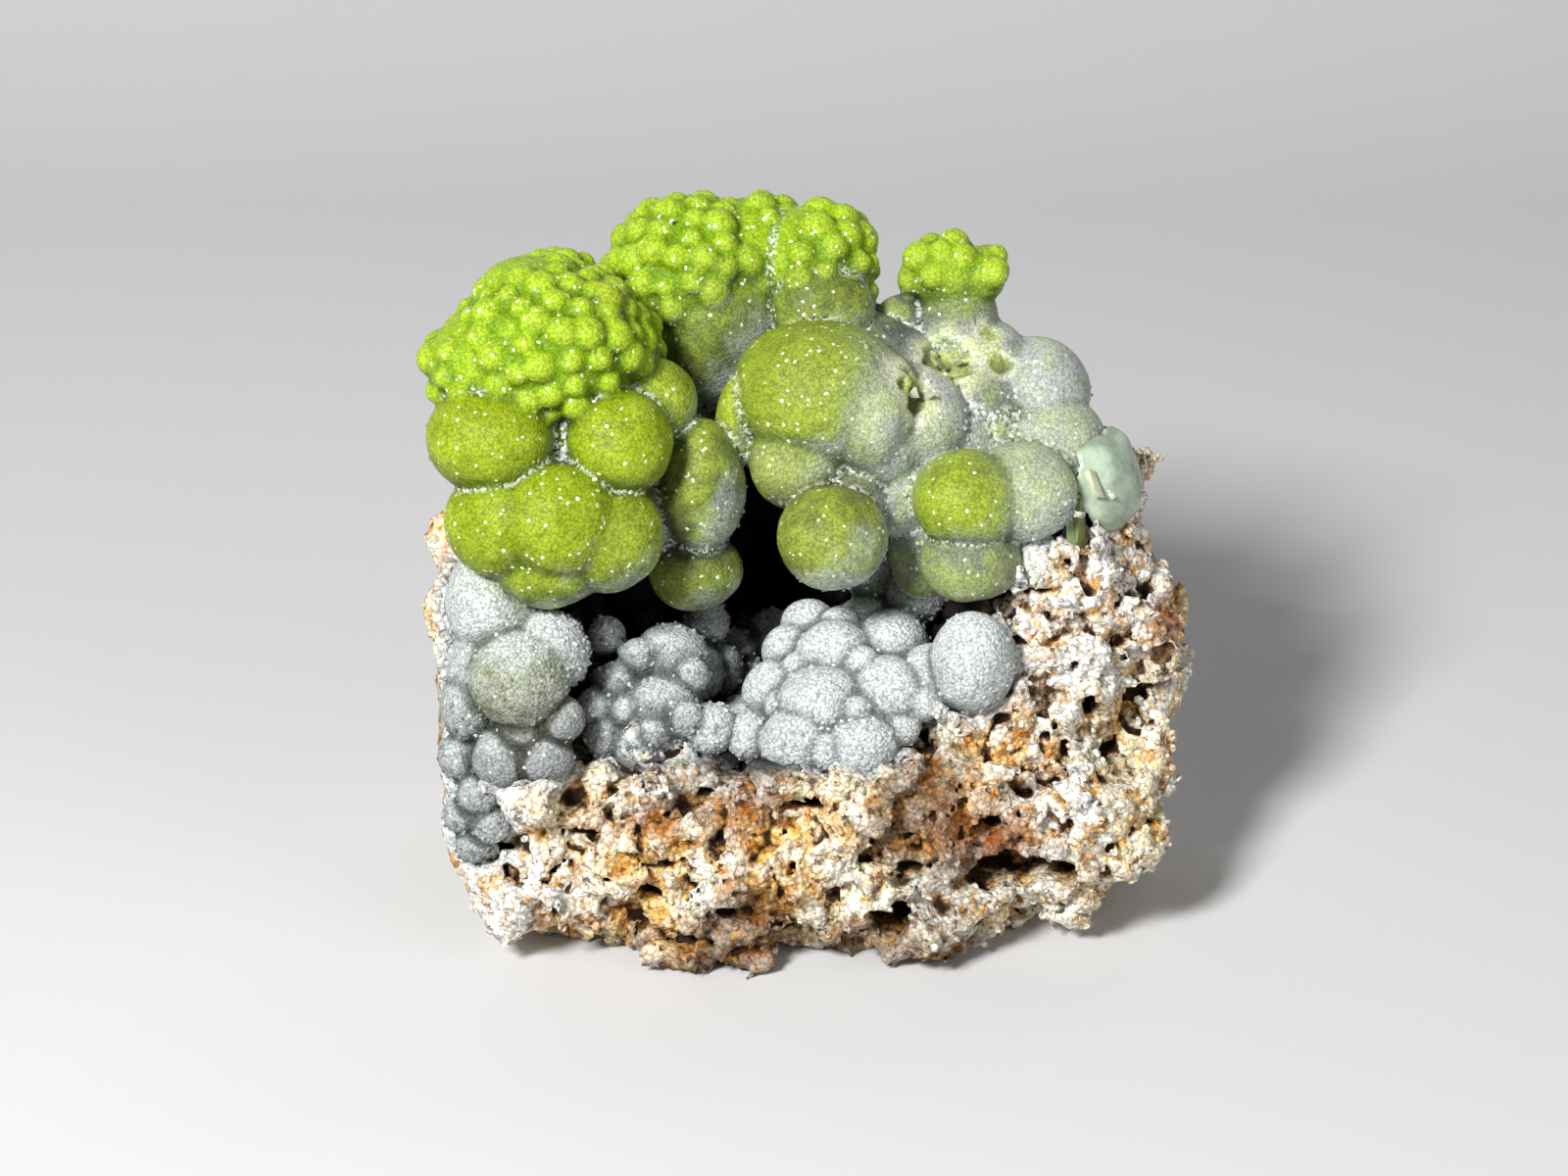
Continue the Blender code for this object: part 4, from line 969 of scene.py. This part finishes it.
def rock_skin():
    """Quartz and limonite: zones of colour, white sugar on what stands out, gold deep down, the deepest pits
    near-black as the rock's brown with painted shade, and the open hollow painted black as shadow.
    """
    material, tree, shader = new_material("quartz_and_limonite", 0.8, 0.3)
    where = tree.nodes.new("ShaderNodeTexCoord").outputs["Object"]
    grit = stored(tree, "grit")
    blotch = clouded(tree, where, 480.0, 5.0, 0.7)
    speck = clouded(tree, where, 1500.0, 4.0, 0.7)
    body = stored(tree, "body", "Color")
    rich = mixed(tree, 1.0, body, RICH_STAIN, "MULTIPLY")
    colour = mixed(tree, ramped(tree, blotch, 0.48, 0.62), body, rich)
    sugar = stored(tree, "sugar")
    white = computed(tree, "MULTIPLY_ADD", stored(tree, "chunk"), 0.30, blotch)
    white = computed(tree, "MULTIPLY", ramped(tree, white, 0.62, 0.50), sugar)
    colour = mixed(tree, computed(tree, "MULTIPLY", white, 0.85), colour, SUGAR_WHITE)
    white = computed(tree, "MULTIPLY", ramped(tree, grit, 0.78, 0.84), sugar)
    colour = mixed(tree, computed(tree, "MULTIPLY", white, 0.8), colour, SUGAR_WHITE)
    colour = mixed(tree, computed(tree, "MULTIPLY", ramped(tree, grit, 0.20, 0.14), 0.6), colour, PIT_GOLD)
    deep = computed(tree, "SUBTRACT", stored(tree, "buried"), 0.15)
    deep = computed(tree, "MULTIPLY_ADD", speck, 0.30, deep)
    white = computed(tree, "MULTIPLY", ramped(tree, deep, 0.46, 0.30), sugar)
    colour = mixed(tree, computed(tree, "MULTIPLY", white, 0.4), colour, SUGAR_WHITE)
    colour = mixed(tree, computed(tree, "MULTIPLY", ramped(tree, deep, 0.52, 0.62), 0.7), colour, PIT_GOLD)
    colour = mixed(tree, stored(tree, "frost"), colour, PALE_FROST)
    # Partly painted shade: the deepest pits turn near-black, the rock's brown oxide darkened further as
    # shade.
    colour = mixed(tree, ramped(tree, deep, 0.56, 0.66), colour, PIT_BROWN_AND_SHADE)
    # The bumped noise holes are painted the same near-black: brown specks darkened as shade in the dents.
    holes = ramped(tree, clouded(tree, where, 950.0, 3.0, 0.65), 0.60, 0.67)
    in_holes = computed(tree, "MULTIPLY", holes, computed(tree, "MULTIPLY_ADD", sugar, -0.55, 0.95))
    colour = mixed(tree, in_holes, colour, PIT_BROWN_AND_SHADE)
    # Painted shadow inside the open hollow.
    colour = mixed(tree, stored(tree, "hollow_shadow"), colour, HOLLOW_SHADOW_BLACK)
    grain = grained(tree, Grains_per_metre=2400.0, Bright_share=0.05)
    shade = computed(tree, "MULTIPLY_ADD", grain.outputs["Shade"], 0.50, 0.82)
    shade = computed(tree, "MULTIPLY_ADD", grain.outputs["Gap"], -0.4, shade)
    tree.links.new(mixed(tree, 1.0, colour, grey_from(tree, shade), "MULTIPLY"), shader.inputs["Base Color"])
    crumble = bumped(tree, computed(tree, "MULTIPLY_ADD", holes, -0.8, speck), 0.0005, 0.8)
    tree.links.new(bumped(tree, grain.outputs["Height"], 0.0003, 0.7, crumble), shader.inputs["Normal"])
    return material


rock_material = rock_skin()
rock_piece.data.materials.append(rock_material)
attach(rock_piece, "root")
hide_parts("matrix")

# The crumbs on the rock.
# Real pieces: angular grains of quartz and limonite that cling all over the broken faces. Each is a small
# rough block sunk into the rock, and they are spread by rule over every part that isn't frosted.
CRUMB_SPACING = 1.0
CRUMB_RADII = (0.14, 0.46)
crumb_tree = scattered("crumbs", "GeometryNodeMeshIcoSphere", [("Radius", 1.0), ("Subdivisions", 1)],
                       "crumbly", 3.0e6, False, [
    ("Spacing", "Float", CRUMB_SPACING * MM), ("Smallest", "Float", CRUMB_RADII[0] * MM),
    ("Largest", "Float", CRUMB_RADII[1] * MM), ("Seed", "Int", 2)])
crumbs = linked("crumb_source", rock_piece.data.copy())
with_tree(crumbs, crumb_tree, Material=rock_material)
crumbs = settled(crumbs, "rock_crumbs")
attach(crumbs, "root")

# The broken shell, blades and flecks.
# Real pieces: a thin curved shell of pale green pyromorphite left where a lobe broke open on the right, and
# olive blades, pale shards and flecks of white crystal. The shell is a patch of an egg shape with a ragged
# edge and a thickness; the rest are jagged chips. All have grown onto what carries them.
SHELL_MIDDLE = (21.2, -0.2, 32.8)
SHELL_RADII = (4.2, 4.2, 5.0)
SHELL_WAY = (0.70, -0.66, 0.26)
SHELL_REACH_DEGREES = 58
SHELL_THICKNESS = 0.55

# A blade or a shard is its middle, length, width and the way it points. A fleck is its middle and its size.
BLADES = [
    (18.4, -5.9, 36.0, 3.4, 0.7, (0.60, 0.10, -0.75)), (19.3, -5.6, 35.2, 2.6, 0.5, (0.50, 0.05, -0.85)),
    (20.6, -4.7, 31.4, 5.4, 1.9, (0.20, -0.20, -1.00)), (19.6, -5.3, 30.8, 4.4, 1.4, (0.10, -0.10, -1.00)),
    (-24.6, -12.6, 26.8, 2.8, 1.0, (0.55, -0.30, 0.75)),
    (7.0, -3.9, 41.6, 2.6, 0.5, (0.05, -0.45, 0.85)), (10.2, 2.2, 41.4, 2.0, 0.7, (-0.30, -0.30, 0.80)),
]
SHARDS = [
    (7.9, -4.1, 41.8, 1.7, 0.8, (-0.30, -0.40, 0.80)), (6.2, -4.5, 41.7, 1.5, 0.6, (0.50, -0.30, 0.80)),
    (8.8, -3.4, 41.2, 1.8, 0.7, (0.80, -0.30, 0.30)), (11.4, 2.3, 41.8, 1.6, 0.7, (0.50, -0.40, 0.60)),
    (9.6, 1.9, 41.9, 1.3, 0.6, (-0.60, -0.30, 0.60)), (21.6, -4.6, 34.6, 3.0, 1.2, (0.40, -0.20, -0.90)),
]
FLECKS = [
    (-11.1, 5.9, 52.0, 0.50), (-10.4, 5.2, 52.1, 0.35), (-14.1, -8.7, 47.1, 0.35), (-14.2, -8.9, 46.3, 0.30),
    (-8.0, 2.0, 48.6, 0.35), (20.2, -6.2, 33.0, 0.7), (17.2, -7.0, 31.6, 0.7), (15.8, -7.9, 29.4, 0.8),
    (22.8, -3.8, 33.6, 0.6), (18.4, -7.0, 29.8, 0.8), (14.4, -8.8, 28.0, 0.6), (17.0, -8.2, 28.6, 0.7),
]


def shell_skin(name, colour, clear):
    """Smooth, slightly see-through mineral with a clean broken face."""
    material, tree, shader = new_material(name, 0.2, 0.5)
    where = tree.nodes.new("ShaderNodeTexCoord").outputs["Object"]
    cloud = clouded(tree, where, 500.0, 4.0, 0.6)
    dark = tuple(0.6 * part for part in colour)
    tree.links.new(mixed(tree, ramped(tree, cloud, 0.35, 0.65), dark, colour), shader.inputs["Base Color"])
    shader.inputs["Transmission Weight"].default_value = clear
    tree.links.new(bumped(tree, cloud, 0.0002, 0.5), shader.inputs["Normal"])
    return material


def broken_shell(name, middle, radii, way, reach, thick, material, rim_material):
    """A ragged patch of an egg shape around a direction, given a thickness."""
    ball = bmesh.new()
    bmesh.ops.create_icosphere(ball, subdivisions=5, radius=1.0)
    way = Vector(way).normalized()
    limit = math.cos(math.radians(reach))
    lost = [v for v in ball.verts if v.co.dot(way) < limit + 0.16 * noise.noise(v.co * 2.6 + Vector(middle))]
    bmesh.ops.delete(ball, geom=lost, context="VERTS")
    for vert in ball.verts:
        swell = 1 + 0.10 * noise.noise(vert.co * 2.0 + Vector(middle))
        vert.co = (Vector(middle) + Vector([r * part * swell for r, part in zip(radii, vert.co)])) * MM
    data = bpy.data.meshes.new(name)
    ball.to_mesh(data)
    ball.free()
    data.shade_smooth()
    data.materials.append(material)
    data.materials.append(rim_material)
    piece = linked(name + "_patch", data)
    walls = piece.modifiers.new("walls", "SOLIDIFY")
    walls.thickness = thick * MM
    walls.offset = -1.0
    walls.material_offset_rim = 1
    piece = settled(piece, name)
    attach(piece, "root")


def chips_of(name, chips, material):
    """Jagged chips in one piece, each with its middle, length, width and the way it points."""
    chance = np.random.default_rng(len(name))
    heap = bmesh.new()
    for x, y, z, length, width, way in chips:
        along = Vector(way).normalized()
        corners = chance.normal(0, 1, (9, 3))
        corners /= np.linalg.norm(corners, axis=1, keepdims=True)
        verts = []
        for corner in corners:
            place = Vector(corner) * (0.5 * width)
            place += along * (place.dot(along) * (length / width - 1))
            verts.append(heap.verts.new((place + Vector((x, y, z))) * MM))
        bmesh.ops.convex_hull(heap, input=verts)
    data = bpy.data.meshes.new(name)
    heap.to_mesh(data)
    heap.free()
    piece = linked(name, data)
    data.materials.append(material)
    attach(piece, "root")


white_fleck_skin = shell_skin("white_fleck", (0.80, 0.82, 0.68), 0.0)
pale_shell_skin = shell_skin("pale_green_shell", (0.52, 0.64, 0.48), 0.2)
broken_shell("pale_shell", SHELL_MIDDLE, SHELL_RADII, SHELL_WAY, SHELL_REACH_DEGREES, SHELL_THICKNESS,
             pale_shell_skin, white_fleck_skin)
chips_of("olive_blades", BLADES, shell_skin("olive_blade", (0.22, 0.27, 0.10), 0.0))
chips_of("pale_shards", SHARDS, shell_skin("pale_shard", (0.62, 0.68, 0.46), 0.0))
chance = np.random.default_rng(21)
flecks = [(x + shift[0], y + shift[1], z + shift[2], 1.3 * size, size, tuple(shift))
          for x, y, z, size in FLECKS for shift in chance.uniform(-0.4, 0.4, (3, 3)) * size]
chips_of("white_flecks", flecks, white_fleck_skin)

# The stage.
# A pale plain floor curving up behind, a soft light from the upper left of the camera, weaker ones from the
# right and from behind, and the camera above and in front of the hollow.
FLOOR_HALF = 0.6
SWEEP_START = 0.16
SWEEP_RADIUS = 0.12
SWEEP_STEPS = 12
SWEEP_TOP = 0.5
PALE_FLOOR = (0.62, 0.62, 0.62, 1.0)
ROOM_COLOUR = (0.80, 0.82, 0.85, 1.0)
ROOM_STRENGTH = 0.08
profile = [(-FLOOR_HALF, 0.0), (SWEEP_START, 0.0)]
for i in range(1, SWEEP_STEPS + 1):
    turn = math.radians(90) * i / SWEEP_STEPS
    profile.append((SWEEP_START + SWEEP_RADIUS * math.sin(turn), SWEEP_RADIUS * (1 - math.cos(turn))))
profile.append((SWEEP_START + SWEEP_RADIUS, SWEEP_TOP))
floor_mesh = bmesh.new()
rows = [[floor_mesh.verts.new((side, y, z)) for y, z in profile] for side in (-FLOOR_HALF, FLOOR_HALF)]
for i in range(len(profile) - 1):
    floor_mesh.faces.new((rows[0][i], rows[1][i], rows[1][i + 1], rows[0][i + 1]))
floor_data = bpy.data.meshes.new("floor")
floor_mesh.to_mesh(floor_data)
floor_mesh.free()
floor_data.shade_smooth()
floor = linked("floor", floor_data)
floor_material, _, shader = new_material("pale_floor", 0.85, 0.2)
shader.inputs["Base Color"].default_value = PALE_FLOOR
floor_data.materials.append(floor_material)


def soft_light(name, place, size, watts):
    """A square area light that faces the specimen."""
    light = bpy.data.lights.new(name, "AREA")
    light.size = size
    light.energy = watts
    lamp = bpy.data.objects.new(name, light)
    lamp.location = place
    lamp.rotation_euler = (Vector((0.0, 0.0, 0.026)) - Vector(place)).to_track_quat("-Z", "Y").to_euler()
    bpy.context.scene.collection.objects.link(lamp)


soft_light("key_light", (-0.20, -0.34, 0.33), 0.10, 3.9)
soft_light("fill_light", (0.36, -0.30, 0.20), 0.30, 0.6)
soft_light("rim_light", (0.10, 0.34, 0.36), 0.24, 0.6)
world = bpy.data.worlds.new("soft_room")
world.use_nodes = True
world.node_tree.nodes["Background"].inputs["Color"].default_value = ROOM_COLOUR
world.node_tree.nodes["Background"].inputs["Strength"].default_value = ROOM_STRENGTH
bpy.context.scene.world = world
bpy.context.scene.view_settings.view_transform = "Standard"

CAMERA_TARGET = Vector((-1.8, 0.0, 24.0)) * MM
CAMERA_DISTANCE = 0.3364
CAMERA_RISE = math.radians(24)
camera_data = bpy.data.cameras.new("camera")
camera_data.lens = 100.0
camera_data.sensor_width = 36.0
camera_data.clip_start = 0.01
camera = bpy.data.objects.new("camera", camera_data)
view_way = Vector((0.0, math.cos(CAMERA_RISE), -math.sin(CAMERA_RISE)))
camera.location = CAMERA_TARGET - view_way * CAMERA_DISTANCE
camera.rotation_euler = view_way.to_track_quat("-Z", "Y").to_euler()
bpy.context.scene.collection.objects.link(camera)
bpy.context.scene.camera = camera
